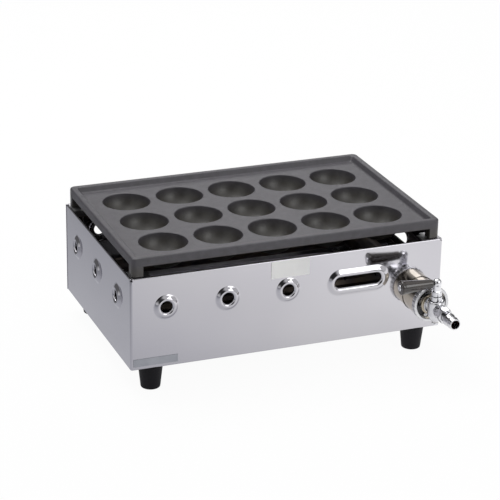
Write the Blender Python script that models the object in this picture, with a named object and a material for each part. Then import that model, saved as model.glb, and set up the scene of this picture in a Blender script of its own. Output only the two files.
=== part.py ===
"""Countertop gas takoyaki maker: sheet casing on rubber feet, cast pan with cups, pipe burner and gas cock.

Metres, +Z up, front towards -Y. The pieces are modelled about the casing: X and Y from its middle and
Z from its underside. An empty then lifts them onto the feet and centres the whole object over the origin.
"""

import math

import bmesh
import bpy
from mathutils import Matrix, Vector

# Fits shared by all pieces
SEAT = 0.0003           # clearance between pieces that touch on the real object
OVERRUN = 0.002         # how far a cutter runs past what it cuts
SKIN = 0.00002          # how far a pressed rim stands proud of its sheet
MERGE = 0.000001        # points this close are one point
ROUND_STEPS = 24        # sides of the large round pieces
SMALL_STEPS = 16        # sides of the middling round pieces
VENT_STEPS = 12         # sides of the pressed air holes and the small round pieces
TINY_STEPS = 8          # sides of screws and studs
SHARP = math.radians(35)
FLAT = math.radians(0.1)        # faces this close to level with each other are made one face

# Casing sheet
CASE_W = 0.287
CASE_D = 0.186
CASE_H = 0.0832
SHEET = 0.0009
HEM_H = 0.007
BEND_R = 0.0022         # more than two sheets, so that the hem bends too
BEND_STEPS = 3
BASE_FLANGE_W = 0.024
REAR_FLANGE_W = 0.016

# Pressed air holes and lighting slots
VENT_DOWN = 0.0282      # the features' middles below the casing's top
VENT_IN = 0.0315        # the first air hole, in from the casing's left side
FRONT_VENTS = 3
REAR_VENTS = 5
SIDE_VENT_ROWS = (-1, 0, 1)     # the right side has a slot in place of the middle one
SIDE_VENT_IN = 0.0355   # the outer air holes of a side, in from its ends
REAR_VENT_END_IN = 0.0355
HOLE_R = 0.005
HOLE_LIP = 0.0024
RIM_R = 0.0103
RIM_RISE = 0.0033
RIM_CREST_R = 0.0073
SLOT_IN = 0.0801        # the slot's middle, in from the casing's right side
VENT_TO_SLOT = 0.0654   # from the last front air hole to the slot's middle
SLOT_INNER_L = 0.0434
SLOT_HOLE_R = 0.00475
SLOT_WIDER = 0.0012     # how much wider the slot's rim is than a vent's

# Pan
PAN_IN_X = 0.0026       # how far the pan stands in from the casing's sides
PAN_IN_Y = 0.002
PAN_CORNER_R = 0.0045
PAN_CORNER_STEPS = 3
RIM_W = 0.0055
RIM_DRAFT = 0.0028      # how much wider the rim is at its foot
TRAY_DEPTH = 0.0048
PLATE_T = 0.0034
LEG_SIDE = 0.0095
LEG_DROP = 0.009
CUP_COLUMNS = 5
CUP_ROWS = 3
CUPS_IN_X = 0.0159      # from the pan's outside to the cups' outermost fields
CUPS_IN_Y = 0.016
CUP_LAND = 0.00396      # half the flat left between two neighbouring cups
CUP_DEPTH = 0.0195
CUP_WALL = 0.0032
CUP_STEPS = 16
CUP_RINGS = 4
SHELL_STEPS = 12
SHELL_RINGS = 3

# Corner ledges that carry the pan's legs
LEDGE_T = 0.0012
LEDGE_W = 0.0125
LEDGE_L = 0.0165
LEDGE_DROP = 0.012

# Blank name plate and blank label on the front
PLATE_L = 0.0395
PLATE_H = 0.0068
PLATE_IN = 0.0222       # its middle, in from the casing's left side
PLATE_Z = 0.0066
LABEL_L = 0.035
LABEL_H = 0.0157
LABEL_X = -0.0002
LABEL_DOWN = 0.0086     # its middle, below the casing's top
FOIL_T = 0.0003
FOIL_GAP = 0.0001

# Feet and their fasteners
FOOT_H = 0.0215
FOOT_TOP_R = 0.0107
FOOT_BASE_R = 0.0084
FOOT_EDGE = 0.001
FOOT_IN_X = 0.021
FOOT_IN_Y = 0.0105
FOOT_RECESS_R = 0.0052
FOOT_RECESS_H = 0.009
BOLT_R = 0.0024
BOLT_HEAD_R = 0.0044
BOLT_HEAD_H = 0.0028
BOLT_TAIL = 0.0018      # how far the bolt stands above its nut
NUT_R = 0.0046
NUT_H = 0.0035
HEX = 6

# Sheet screws
SCREW_R = 0.0014
SCREW_HEAD_R = 0.0030
SCREW_HEAD_H = 0.0016
SCREW_L = 0.0044
REAR_SCREW_IN = 0.008
REAR_SCREW_LOW_Z = 0.014
REAR_SCREW_DOWN = 0.0142
BASE_SCREW_IN = 0.012
BASE_SCREW_END_IN = 0.051

# Gas inlet: places along its axis are distances in front of the front panel
INLET_IN = 0.0207       # its axis, in from the casing's right side
INLET_Z = 0.034

# Mixing tube
TUBE_R = 0.0156
TUBE_WALL = 0.0012
TUBE_MOUTH = 0.0192
TUBE_WIDE_END = -0.008
THROAT_START = -0.024
THROAT_END = -0.034
THROAT_WALL = 0.001

# Damper ring and its hub
DAMPER_R = 0.0164
DAMPER_BORE_EDGE_R = 0.0136
DAMPER_L = 0.0058
DAMPER_WEB = 0.0012
DAMPER_CHAMFER = 0.0005
DAMPER_BOSS_R = 0.0091
DAMPER_BOSS_L = 0.0036
KNURL_COUNT = 24
KNURL_W = 0.0008
KNURL_DEPTH = 0.0004
WINDOW_IN_R = 0.0096
WINDOW_OUT_R = 0.0132
WINDOW_COUNT = 3
WINDOW_SPAN = math.radians(58)
WINDOW_ARC_STEPS = 4
DAMPER_WINDOW_AT = math.radians(-87)
RIB_FROM_WINDOW = math.radians(38)
RIB_W = 0.0018
RIB_H = 0.0014
STOP_SCREW_AT = math.radians(-109)
STOP_SCREW_CIRCLE_R = 0.0113
STOP_SCREW_R = 0.001
STOP_HEAD_R = 0.0017
STOP_HEAD_H = 0.0012
STOP_SLOT_W = 0.0006
HUB_JOURNAL_R = 0.0076
HUB_NECK_R = 0.0062
HUB_FLANGE_R = 0.0094
HUB_FLANGE_T = 0.0016
HUB_REAR = 0.012
HUB_SOCKET_R = 0.0053
HUB_SOCKET_L = 0.005
GAS_R = 0.0016
JET_SOCKET_R = 0.0033
JET_SOCKET_L = 0.004
JET_R = 0.0030
JET_HEX_R = 0.0045
JET_HEX_L = 0.003
JET_NOSE = 0.006
JET_NOSE_R = 0.0018
JET_BORE_R = 0.0006
HUB_NUT_R = 0.0092
HUB_NUT_L = 0.0022

# Cock body
PLUG_AT = 0.0338        # the plug's axis, in front of the panel
BARREL_R = 0.0074
BARREL_TOP = 0.0073
BARREL_TOP_R = 0.0066
BARREL_SIDE = 0.006
BARREL_FOOT = 0.0105
BARREL_FOOT_R = 0.0048
COCK_NECK_R = 0.0050
COCK_COLLAR_R = 0.0078
COCK_COLLAR_T = 0.0013
COCK_FRONT_R = 0.0054
COCK_RING_R = 0.0063
COCK_RING_GAP = 0.0074  # from the plug's axis
COCK_RING_T = 0.0018
COCK_FRONT_L = 0.0070    # the plain end in front of the ring
COCK_FRONT_BORE_R = 0.0030

# Plug and what turns with it
PLUG_TOP_R = 0.0036
PLUG_FOOT_R = 0.0026
PLUG_HOLE_R = 0.0014
HEAD_R = 0.0050
HEAD_H = 0.0039
NOTCH_IN_R = 0.0040
NOTCH_H = 0.0022
STOP_PIN_R = 0.00055
STOP_PIN_CIRCLE_R = 0.0047
STOP_PIN_H = 0.0018
STOP_PIN_AT = math.radians(60)
QUARTER_TURN = math.radians(90)
NOTCH_MARGIN = math.radians(12)
SPIGOT_R = 0.0023
SPIGOT_H = 0.0027
STUD_R = 0.0015
STUD_L = 0.0051
WASHER_R = 0.0036
WASHER_T = 0.0008
SPRING_WASHER_R = 0.0029
SPRING_WASHER_T = 0.0010
SPRING_WASHER_GAP = 0.0008
PLUG_NUT_R = 0.0033
PLUG_NUT_H = 0.0021

# Lever
LEVER_HUB_R = 0.0046
LEVER_HUB_H = 0.0042
STEM_W = 0.0064
STEM_T = 0.0050
STEM_EDGE = 0.001
GRIP_RISE = 0.0236      # the grip's axis above the inlet's axis
BALL_R = 0.0040
BALL_RINGS = 6
GRIP_START = 0.0045
GRIP_END = 0.0350
GRIP_NECK_R = 0.0037
GRIP_WIDE_R = 0.0060
GRIP_FLARE_R = 0.0064
GRIP_FLARE_L = 0.0022
GRIP_EDGE = 0.0012
ROD_R = 0.0015
ROD_IN_BALL = 0.0015    # how far the rod stops short of the plug's axis
ROD_CAP_R = 0.0028
ROD_CAP_T = 0.0011
PIN_R = 0.0008

# Hose nipple and its nut
NUT_GAP = 0.0020        # between the cock's ring and the nut
NUT_RING_L = 0.0016
NUT_HEX_L = 0.0074
NUT_RING_R = 0.0066
NUT_HEX_R = 0.0071
NUT_FRONT_WALL = 0.0014
GASKET_T = 0.0007
GASKET_R = 0.0052
NIPPLE_FLANGE_R = 0.0053
NIPPLE_FLANGE_T = 0.0010
NIPPLE_NECK_R = 0.0044
NIPPLE_BORE_R = 0.00395
BARB_GAP = 0.0020       # between the nut and the barb
BARB_RISE_L = 0.0035
BARB_CREST_L = 0.0015
BARB_R = 0.0059
BARB_FALL_L = 0.0050
BARB_MID_R = 0.0052
BARB_LIP_L = 0.0013
BARB_LIP_R = 0.0056
NIPPLE_TIP_L = 0.0043
NIPPLE_TIP_R = 0.0049
NIPPLE_EDGE = 0.0005

# Burner
MANIFOLD_R = 0.0115
MANIFOLD_WALL = 0.0014
MANIFOLD_PAST = 0.012   # how far the manifold runs past the rear burner
MANIFOLD_LAP = 0.007    # how far the mixing tube reaches into the manifold
STUB_WALL = 0.0012
STUB_L = 0.0075
BURNER_R = 0.008
BURNER_WALL = 0.0014
BURNER_END_IN = 0.0175  # the burners' ends, in from the casing's left side
PORT_COUNT = 8
PORT_W = 0.0014
PORT_DEPTH = 0.0032
PORT_FIRST_IN = 0.014   # the first port, from the burner's end
PORT_LAST_IN = 0.0248   # the last port, from the manifold's axis
REST_T = 0.0012
REST_FOOT_W = 0.012
REST_IN = 0.0085        # the rest's wall, from the burners' ends
REST_END = 0.012        # how far the rest runs past the outer burners
MANIFOLD_REST_W = 0.030

# Finishes: colour, roughness, metallic
POLISHED_SHEET = ((0.62, 0.62, 0.65), 0.12, 1.0)
DULL_SHEET = ((0.45, 0.45, 0.46), 0.35, 1.0)
CAST_IRON = ((0.075, 0.073, 0.082), 0.55, 0.35)
BURNER_STEEL = ((0.16, 0.15, 0.15), 0.5, 0.8)
PASSIVATED = ((0.72, 0.62, 0.50), 0.25, 1.0)
BRASS = ((0.68, 0.55, 0.33), 0.3, 1.0)
CHROME = ((0.72, 0.72, 0.75), 0.08, 1.0)
SATIN_RING = ((0.60, 0.60, 0.62), 0.3, 1.0)
ZINC_SCREW = ((0.66, 0.66, 0.68), 0.3, 1.0)
RUBBER = ((0.012, 0.011, 0.014), 0.6, 0.0)
BAKELITE = ((0.018, 0.012, 0.010), 0.15, 0.0)
FIBRE = ((0.35, 0.12, 0.08), 0.7, 0.0)
BLANK_PLATE = ((0.42, 0.43, 0.46), 0.4, 0.8)
BLANK_PAPER = ((0.86, 0.86, 0.86), 0.6, 0.0)

# Places that follow from the sizes above
HALF_W = CASE_W / 2
HALF_D = CASE_D / 2
REAR_FOLD_Y = HALF_D - SHEET - SEAT
BASE_PLATE_Z = SHEET + SEAT
BASE_TOP_Z = BASE_PLATE_Z + SHEET
BURNER_FLOOR_Z = BASE_TOP_Z + SEAT
VENT_Z = CASE_H - VENT_DOWN
VENT_FIRST_X = VENT_IN - HALF_W
SLOT_X = HALF_W - SLOT_IN
VENT_PITCH = (SLOT_X - VENT_TO_SLOT - VENT_FIRST_X) / (FRONT_VENTS - 1)
REAR_VENT_PITCH = (CASE_W - VENT_IN - REAR_VENT_END_IN) / (REAR_VENTS - 1)
SIDE_VENT_PITCH = HALF_D - SIDE_VENT_IN
PAN_W = CASE_W - 2 * PAN_IN_X
PAN_D = CASE_D - 2 * PAN_IN_Y
LEG_FOOT_Z = CASE_H + SEAT
PLATE_LOW_Z = LEG_FOOT_Z + LEG_DROP
PLATE_TOP_Z = PLATE_LOW_Z + PLATE_T
PAN_TOP_Z = PLATE_TOP_Z + TRAY_DEPTH
CUP_PITCH_X = (PAN_W - 2 * CUPS_IN_X) / CUP_COLUMNS
CUP_PITCH_Y = (PAN_D - 2 * CUPS_IN_Y) / CUP_ROWS
CUP_R = min(CUP_PITCH_X, CUP_PITCH_Y) / 2 - CUP_LAND
PLATE_X = PLATE_IN - HALF_W
LABEL_Z = CASE_H - LABEL_DOWN
REAR_SCREW_HIGH_Z = CASE_H - REAR_SCREW_DOWN
BASE_SCREW_Y = HALF_D - BASE_SCREW_END_IN
INLET_X = HALF_W - INLET_IN
MANIFOLD_REAR_Y = CUP_PITCH_Y + MANIFOLD_PAST
MANIFOLD_REST_Y = CUP_PITCH_Y / 2
REST_SCREW_Y = CUP_PITCH_Y / 2
BURNER_LEFT_X = BURNER_END_IN - HALF_W
REST_X = BURNER_LEFT_X + REST_IN
PORT_FIRST_X = BURNER_LEFT_X + PORT_FIRST_IN
PORT_PITCH = (INLET_X - PORT_LAST_IN - PORT_FIRST_X) / (PORT_COUNT - 1)
FOOT_X = HALF_W - FOOT_IN_X
FOOT_Y = HALF_D - FOOT_IN_Y
DAMPER_REAR = TUBE_MOUTH + SEAT
DAMPER_FRONT = DAMPER_REAR + DAMPER_L
HUB_FLANGE_REAR = DAMPER_REAR + DAMPER_BOSS_L + SEAT
HUB_FRONT = HUB_FLANGE_REAR + HUB_FLANGE_T
COCK_COLLAR_AT = HUB_FRONT + SEAT
COCK_RING_AT = PLUG_AT + COCK_RING_GAP
COCK_FRONT_END = COCK_RING_AT + COCK_RING_T + COCK_FRONT_L
NUT_START = COCK_RING_AT + COCK_RING_T + NUT_GAP
NUT_HEX_START = NUT_START + NUT_RING_L
NUT_END = NUT_HEX_START + NUT_HEX_L
BARB_START = NUT_END + BARB_GAP
BARB_CREST = BARB_START + BARB_RISE_L
BARB_BACK = BARB_CREST + BARB_CREST_L
BARB_MID = BARB_BACK + BARB_FALL_L
BARB_LIP = BARB_MID + BARB_LIP_L
NIPPLE_TIP = BARB_LIP + NIPPLE_TIP_L
THROAT_R = MANIFOLD_R - MANIFOLD_WALL - SEAT
STUB_R = BURNER_R - BURNER_WALL - SEAT
MOUTH_WINDOW_AT = DAMPER_WINDOW_AT + math.pi / WINDOW_COUNT
CASE_Y = (NIPPLE_TIP - RIM_RISE) / 2


def clear_scene():
    """Remove what the file holds before the model is made."""
    for thing in list(bpy.data.objects):
        bpy.data.objects.remove(thing)


def finish_material(name, finish):
    """Make one Principled material from a colour, a roughness and a metallic value."""
    colour, roughness, metallic = finish
    made = bpy.data.materials.new(name)
    made.use_nodes = True
    shader = made.node_tree.nodes["Principled BSDF"]
    shader.inputs["Base Color"].default_value = (*colour, 1.0)
    shader.inputs["Roughness"].default_value = roughness
    shader.inputs["Metallic"].default_value = metallic
    return made


def empty(name, parent, at=(0, 0, 0), turn=(0, 0, 0)):
    """Place an empty that other pieces hang on."""
    made = bpy.data.objects.new(name, None)
    bpy.context.scene.collection.objects.link(made)
    made.parent = parent
    made.location = at
    made.rotation_euler = turn
    return made


def piece(name, shape, finish, parent, at=(0, 0, 0), turn=(0, 0, 0), smooth=True):
    """Turn a bmesh into a named object with its own material."""
    mesh = bpy.data.meshes.new(name)
    shape.to_mesh(mesh)
    shape.free()
    if smooth:
        mesh.shade_smooth()
        mesh.set_sharp_from_angle(angle=SHARP)
    mesh.materials.append(finish_material(name, finish))
    made = bpy.data.objects.new(name, mesh)
    bpy.context.scene.collection.objects.link(made)
    made.parent = parent
    made.location = at
    made.rotation_euler = turn
    return made


def boolean(target, shape, operation):
    """Cut a shape out of a piece, or join it on, with a hidden tool object."""
    mesh = bpy.data.meshes.new(target.name + "_tool")
    shape.to_mesh(mesh)
    shape.free()
    tool = bpy.data.objects.new(target.name + "_tool", mesh)
    bpy.context.scene.collection.objects.link(tool)
    tool.parent = target
    tool.hide_render = True
    tool.display_type = "WIRE"
    modifier = target.modifiers.new(operation.lower(), "BOOLEAN")
    modifier.operation = operation
    modifier.object = tool
    return target


def cut(target, shape):
    """Cut a shape out of a piece."""
    return boolean(target, shape, "DIFFERENCE")


def join(target, shape):
    """Join a shape onto a piece as one body."""
    return boolean(target, shape, "UNION")


def moved(shape, matrix):
    """Move a bmesh by a matrix and hand it back."""
    shape.transform(matrix)
    return shape


def gathered(shapes):
    """Gather separate shapes in one bmesh."""
    out = bmesh.new()
    for shape in shapes:
        mesh = bpy.data.meshes.new("gathered")
        shape.to_mesh(mesh)
        shape.free()
        out.from_mesh(mesh)
        bpy.data.meshes.remove(mesh)
    return out


def loft(loops, joined=False):
    """Skin equal loops of points, with both ends capped or the last loop joined to the first."""
    shape = bmesh.new()
    rows = [[shape.verts.new(point) for point in loop] for loop in loops]
    pairs = list(zip(rows, rows[1:]))
    if joined:
        pairs.append((rows[-1], rows[0]))
    else:
        shape.faces.new(rows[0])
        shape.faces.new(rows[-1])
    for low, high in pairs:
        for start, end, end_up, start_up in zip(low, low[1:] + low[:1], high[1:] + high[:1], high):
            shape.faces.new((start, end, end_up, start_up))
    bmesh.ops.recalc_face_normals(shape, faces=shape.faces)
    return shape


def turned(profile, steps, ring=False):
    """Spin (radius, height) points about Z; a ring's profile closes on itself."""
    shape = bmesh.new()
    verts = [shape.verts.new((radius, 0, height)) for radius, height in profile]
    edges = [shape.edges.new(pair) for pair in zip(verts, verts[1:])]
    if ring:
        edges.append(shape.edges.new((verts[-1], verts[0])))
    bmesh.ops.spin(shape, geom=verts + edges, cent=(0, 0, 0), axis=(0, 0, 1), angle=math.tau,
                   steps=steps, use_merge=True)
    bmesh.ops.remove_doubles(shape, verts=shape.verts, dist=MERGE)
    bmesh.ops.dissolve_limit(shape, angle_limit=FLAT, verts=shape.verts, edges=shape.edges)
    bmesh.ops.recalc_face_normals(shape, faces=shape.faces)
    return shape


def half_side(steps):
    """Half a side's turn about Z, which keeps the corners of crossing round shapes off each other."""
    return Matrix.Rotation(math.pi / steps, 4, "Z")


def rod(radius, low, high, steps):
    """A plain round rod along Z."""
    return turned([(0, low), (radius, low), (radius, high), (0, high)], steps)


def pipe(inner, outer, low, high, steps):
    """A plain round pipe along Z."""
    return turned([(inner, low), (outer, low), (outer, high), (inner, high)], steps, ring=True)


def box(low, high):
    """A box between two corners."""
    low, high = Vector(low), Vector(high)
    shape = bmesh.new()
    place = Matrix.Translation((low + high) / 2) @ Matrix.Diagonal((*(high - low), 1))
    bmesh.ops.create_cube(shape, size=1, matrix=place)
    return shape


def circle(radius, steps, height=0):
    """Points of a level circle, the first at +X."""
    angles = [math.tau * i / steps for i in range(steps)]
    return [(radius * math.cos(a), radius * math.sin(a), height) for a in angles]


def racetrack(radius, half_run, steps, height=0):
    """Points of a level racetrack: two half circles joined by straight runs along X."""
    count = steps // 2 + (1 if half_run else 0)
    points = []
    for side, start in ((1, -math.pi / 2), (-1, math.pi / 2)):
        for i in range(count):
            angle = start + math.tau * i / steps
            points.append((side * half_run + radius * math.cos(angle), radius * math.sin(angle), height))
    return points


def rounded_rectangle(width, depth, radius, steps, height=0):
    """Points of a level rectangle with round corners."""
    points = []
    for turn, (side_x, side_y) in enumerate(((1, 1), (-1, 1), (-1, -1), (1, -1))):
        for i in range(steps + 1):
            angle = math.pi / 2 * (turn + i / steps)
            x = side_x * (width / 2 - radius) + radius * math.cos(angle)
            y = side_y * (depth / 2 - radius) + radius * math.sin(angle)
            points.append((x, y, height))
    return points


def sector(inner, outer, middle, span, low, high):
    """A block bounded by two arcs, between two heights."""
    angles = [middle + span * (i / WINDOW_ARC_STEPS - 1 / 2) for i in range(WINDOW_ARC_STEPS + 1)]
    outline = [(outer * math.cos(a), outer * math.sin(a)) for a in angles]
    outline += [(inner * math.cos(a), inner * math.sin(a)) for a in reversed(angles)]
    return loft([[(x, y, height) for x, y in outline] for height in (low, high)])


def left_of(start, end):
    """The unit direction to the left of a run."""
    run = (Vector(end) - Vector(start)).normalized()
    return Vector((-run.y, run.x))


def swept(path, section):
    """Sweep a section of (inward, height) points along a level path, with mitred corners."""
    stations = []
    for i, point in enumerate(path):
        sides = []
        if i > 0:
            sides.append(left_of(path[i - 1], point))
        if i < len(path) - 1:
            sides.append(left_of(point, path[i + 1]))
        mitre = (sides[0] + sides[-1]) / (1 + sides[0].dot(sides[-1]))
        stations.append([(*(Vector(point) + mitre * inward), height) for inward, height in section])
    return loft(stations)


def hexagon(radius, low, high):
    """A six-sided bar along Z."""
    return loft([circle(radius, HEX, low), circle(radius, HEX, high)])


WALLS = {"front": (HALF_D, 0), "right": (HALF_W, math.pi / 2),
         "back": (HALF_D, math.pi), "left": (HALF_W, -math.pi / 2)}


def on_wall(wall, along, height):
    """The place of something whose +Z points out of one of the casing's walls."""
    half, angle = WALLS[wall]
    outward = Matrix.Translation((along, -half, height)) @ Matrix.Rotation(math.pi / 2, 4, "X")
    return Matrix.Rotation(angle, 4, "Z") @ outward


def wrap_features():
    """Air holes (no straight run) and slots of the front and sides: wall, place along it, straight run."""
    slot_run = SLOT_INNER_L / 2 - SLOT_HOLE_R
    features = [("front", VENT_FIRST_X + i * VENT_PITCH, 0) for i in range(FRONT_VENTS)]
    features += [("left", row * SIDE_VENT_PITCH, 0) for row in SIDE_VENT_ROWS]
    features += [("right", row * SIDE_VENT_PITCH, 0) for row in SIDE_VENT_ROWS if row]
    return features + [("front", SLOT_X, slot_run), ("right", 0, slot_run)]


def rear_features():
    """Air holes of the rear panel, seen from behind."""
    return [("back", -(VENT_FIRST_X + i * REAR_VENT_PITCH), 0) for i in range(REAR_VENTS)]


def pressed_rim(half_run):
    """A rim pressed out of the sheet round a hole, with its lip turned back in."""
    hole = SLOT_HOLE_R if half_run else HOLE_R
    grow = SLOT_WIDER if half_run else 0
    profile = [
        (RIM_R + grow, -SHEET - SKIN),
        (RIM_R + grow, SKIN),
        (RIM_CREST_R + grow, RIM_RISE),
        (hole, HOLE_LIP),
        (hole, HOLE_LIP - SHEET),
        (RIM_R + grow - SHEET, -SHEET - SKIN),
    ]
    loops = [racetrack(radius, half_run, VENT_STEPS, height) for radius, height in profile]
    return loft(loops, joined=True)


def rim_hole(half_run):
    """The hole in the flat sheet that a pressed rim fills."""
    radius = RIM_R + (SLOT_WIDER if half_run else 0) - SHEET / 2
    low, high = -SHEET - OVERRUN, OVERRUN
    return loft([racetrack(radius, half_run, VENT_STEPS, height) for height in (low, high)])


def press_features(target, features):
    """Open a sheet at each feature and join the pressed rims on."""
    holes = [moved(rim_hole(run), on_wall(wall, along, VENT_Z)) for wall, along, run in features]
    rims = [moved(pressed_rim(run), on_wall(wall, along, VENT_Z)) for wall, along, run in features]
    cut(target, gathered(holes))
    join(target, gathered(rims))


def foot_places():
    """The four feet: name ending and place."""
    return [("front_left", -FOOT_X, -FOOT_Y), ("front_right", FOOT_X, -FOOT_Y),
            ("rear_left", -FOOT_X, FOOT_Y), ("rear_right", FOOT_X, FOOT_Y)]


def base_screw_places():
    """The screws that hold the base plate to the casing's bottom flange."""
    x = HALF_W - BASE_SCREW_IN
    return [(side * x, end * BASE_SCREW_Y) for side in (-1, 1) for end in (-1, 1)]


def rest_screw_places():
    """The screws that hold the burner's rests to the base plate."""
    foot_middle = REST_FOOT_W / 2
    burner = [(REST_X + foot_middle, side * REST_SCREW_Y) for side in (-1, 1)]
    return burner + [(INLET_X, MANIFOLD_REST_Y - foot_middle)]


def base_holes():
    """Bolt and screw holes through the bottom flange and the base plate."""
    bolts = [(BOLT_R, x, y) for _, x, y in foot_places()]
    screws = [(SCREW_R, x, y) for x, y in base_screw_places() + rest_screw_places()]
    low, high = -OVERRUN, BASE_TOP_Z + OVERRUN
    return [moved(rod(radius + SEAT, low, high, TINY_STEPS), Matrix.Translation((x, y, 0)))
            for radius, x, y in bolts + screws]


def make_casing_wrap(frame):
    """Front and sides bent from one sheet, with a top hem, rear folds and a bottom flange."""
    fold_x = HALF_W - REAR_FLANGE_W
    path = [(-fold_x, REAR_FOLD_Y), (-HALF_W, REAR_FOLD_Y), (-HALF_W, -HALF_D),
            (HALF_W, -HALF_D), (HALF_W, REAR_FOLD_Y), (fold_x, REAR_FOLD_Y)]
    hem_z = CASE_H - HEM_H
    section = [(0, 0), (0, CASE_H), (2 * SHEET, CASE_H), (2 * SHEET, hem_z), (SHEET, hem_z), (SHEET, 0)]
    wrap = piece("casing_wrap", swept(bent(path), section), POLISHED_SHEET, frame)
    join(wrap, bottom_flange())
    tube_hole = moved(rod(TUBE_R + SEAT, -SHEET - OVERRUN, OVERRUN, ROUND_STEPS),
                      on_wall("front", INLET_X, INLET_Z))
    cut(wrap, gathered(base_holes() + [tube_hole] + rear_screw_holes()))
    press_features(wrap, wrap_features())
    return wrap


def bent(path):
    """Round the corners of a level path with the casing's bend radius."""
    points = [path[0]]
    for before, corner, after in zip(path, path[1:], path[2:]):
        here = Vector(corner)
        inward, outward = (Vector(before) - here).normalized(), (Vector(after) - here).normalized()
        middle = here + BEND_R * (inward + outward)
        for i in range(BEND_STEPS + 1):
            angle = math.pi / 2 * i / BEND_STEPS
            points.append(tuple(middle - BEND_R * (outward * math.cos(angle) + inward * math.sin(angle))))
    return points + [path[-1]]


def bottom_flange():
    """The flat flange round the casing's bottom, a hair above the sheet's lower edge."""
    depth = REAR_FOLD_Y + HALF_D
    outer = (CASE_W - SHEET, depth - SHEET, BEND_R - SHEET / 2, BEND_STEPS)
    inner = (CASE_W - 2 * BASE_FLANGE_W, depth - 2 * BASE_FLANGE_W, BEND_R, BEND_STEPS)
    loops = [rounded_rectangle(*size, height)
             for size, height in ((outer, SKIN), (outer, SHEET), (inner, SHEET), (inner, SKIN))]
    return moved(loft(loops, joined=True), Matrix.Translation((0, (REAR_FOLD_Y - HALF_D) / 2, 0)))


def rear_screw_spots():
    """The rear panel's four screws, as places seen from behind."""
    x = HALF_W - REAR_SCREW_IN
    return [(side * x, height) for side in (-1, 1) for height in (REAR_SCREW_LOW_Z, REAR_SCREW_HIGH_Z)]


def rear_screw_holes():
    """Screw holes through the rear panel and the folds behind it."""
    depth = 2 * SHEET + SEAT + OVERRUN
    return [moved(rod(SCREW_R + SEAT, -depth, OVERRUN, TINY_STEPS), on_wall("back", along, height))
            for along, height in rear_screw_spots()]


def make_rear_panel(frame):
    """The rear panel: a flat sheet over the rear folds, with a hem between them."""
    fold_x = HALF_W - REAR_FLANGE_W - SEAT
    panel = piece("rear_panel", box((-HALF_W, HALF_D - SHEET, 0), (HALF_W, HALF_D, CASE_H)),
                  POLISHED_SHEET, frame, smooth=False)
    join(panel, box((-fold_x, HALF_D - 2 * SHEET, CASE_H - HEM_H), (fold_x, HALF_D - SHEET / 2, CASE_H)))
    cut(panel, gathered(rear_screw_holes()))
    press_features(panel, rear_features())


def make_base_plate(frame):
    """The plate that closes the bottom and carries the burner's rests."""
    inset = SHEET + SEAT
    outline = (CASE_W - 2 * inset, HALF_D + REAR_FOLD_Y - 2 * inset, BEND_R - inset, BEND_STEPS)
    shape = loft([rounded_rectangle(*outline, height) for height in (BASE_PLATE_Z, BASE_TOP_Z)])
    plate = piece("base_plate", moved(shape, Matrix.Translation((0, (REAR_FOLD_Y - HALF_D) / 2, 0))),
                  DULL_SHEET, frame, smooth=False)
    cut(plate, gathered(base_holes()))


def make_ledges(frame):
    """Four corner ledges, flush with the casing's top, that carry the pan's legs."""
    inset = 2 * SHEET + SEAT
    section = [(0, -LEDGE_DROP), (0, 0), (LEDGE_W, 0), (LEDGE_W, -LEDGE_T), (LEDGE_T, -LEDGE_T),
               (LEDGE_T, -LEDGE_DROP)]
    for name, side_x, corner_y, inward in (
            ("front_left", -1, inset - HALF_D, 1), ("front_right", 1, inset - HALF_D, 1),
            ("rear_left", -1, REAR_FOLD_Y - inset, -1), ("rear_right", 1, REAR_FOLD_Y - inset, -1)):
        corner_x = side_x * (HALF_W - inset)
        along_x = (corner_x - side_x * LEDGE_L, corner_y)
        along_y = (corner_x, corner_y + inward * LEDGE_L)
        path = [along_y, (corner_x, corner_y), along_x]
        shape = swept(path if side_x * inward < 0 else path[::-1], section)
        piece("pan_ledge_" + name, shape, DULL_SHEET, frame, at=(0, 0, CASE_H), smooth=False)


def make_front_foils(frame):
    """The blank name plate and the blank label on the front panel."""
    y = -HALF_D - FOIL_GAP
    for name, x, z, length, height, finish in (
            ("name_plate", PLATE_X, PLATE_Z, PLATE_L, PLATE_H, BLANK_PLATE),
            ("blank_label", LABEL_X, LABEL_Z, LABEL_L, LABEL_H, BLANK_PAPER)):
        low = (x - length / 2, y - FOIL_T, z - height / 2)
        high = (x + length / 2, y, z + height / 2)
        piece(name, box(low, high), finish, frame, smooth=False)


def make_feet(frame):
    """Four tapered rubber feet, each with a bolt from below and a nut on the base plate."""
    top = -SEAT
    step = FOOT_RECESS_H - FOOT_H
    foot = [(BOLT_R + SEAT, top), (FOOT_TOP_R, top), (FOOT_BASE_R, FOOT_EDGE - FOOT_H),
            (FOOT_BASE_R - FOOT_EDGE, -FOOT_H), (FOOT_RECESS_R, -FOOT_H), (FOOT_RECESS_R, step),
            (BOLT_R + SEAT, step)]
    head_top = step - SEAT
    tip = BASE_TOP_Z + SEAT + NUT_H + BOLT_TAIL
    bolt = [(0, head_top - BOLT_HEAD_H), (BOLT_HEAD_R, head_top - BOLT_HEAD_H), (BOLT_HEAD_R, head_top),
            (BOLT_R, head_top), (BOLT_R, tip), (0, tip)]
    nut_low = BASE_TOP_Z + SEAT
    for name, x, y in foot_places():
        piece("foot_" + name, turned(foot, VENT_STEPS, ring=True), RUBBER, frame, at=(x, y, 0))
        piece("foot_bolt_" + name, turned(bolt, TINY_STEPS), ZINC_SCREW, frame, at=(x, y, 0))
        nut = piece("foot_nut_" + name, hexagon(NUT_R, nut_low, nut_low + NUT_H), ZINC_SCREW, frame,
                    at=(x, y, 0), smooth=False)
        cut(nut, rod(BOLT_R + SEAT, nut_low - OVERRUN, nut_low + NUT_H + OVERRUN, TINY_STEPS))


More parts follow.
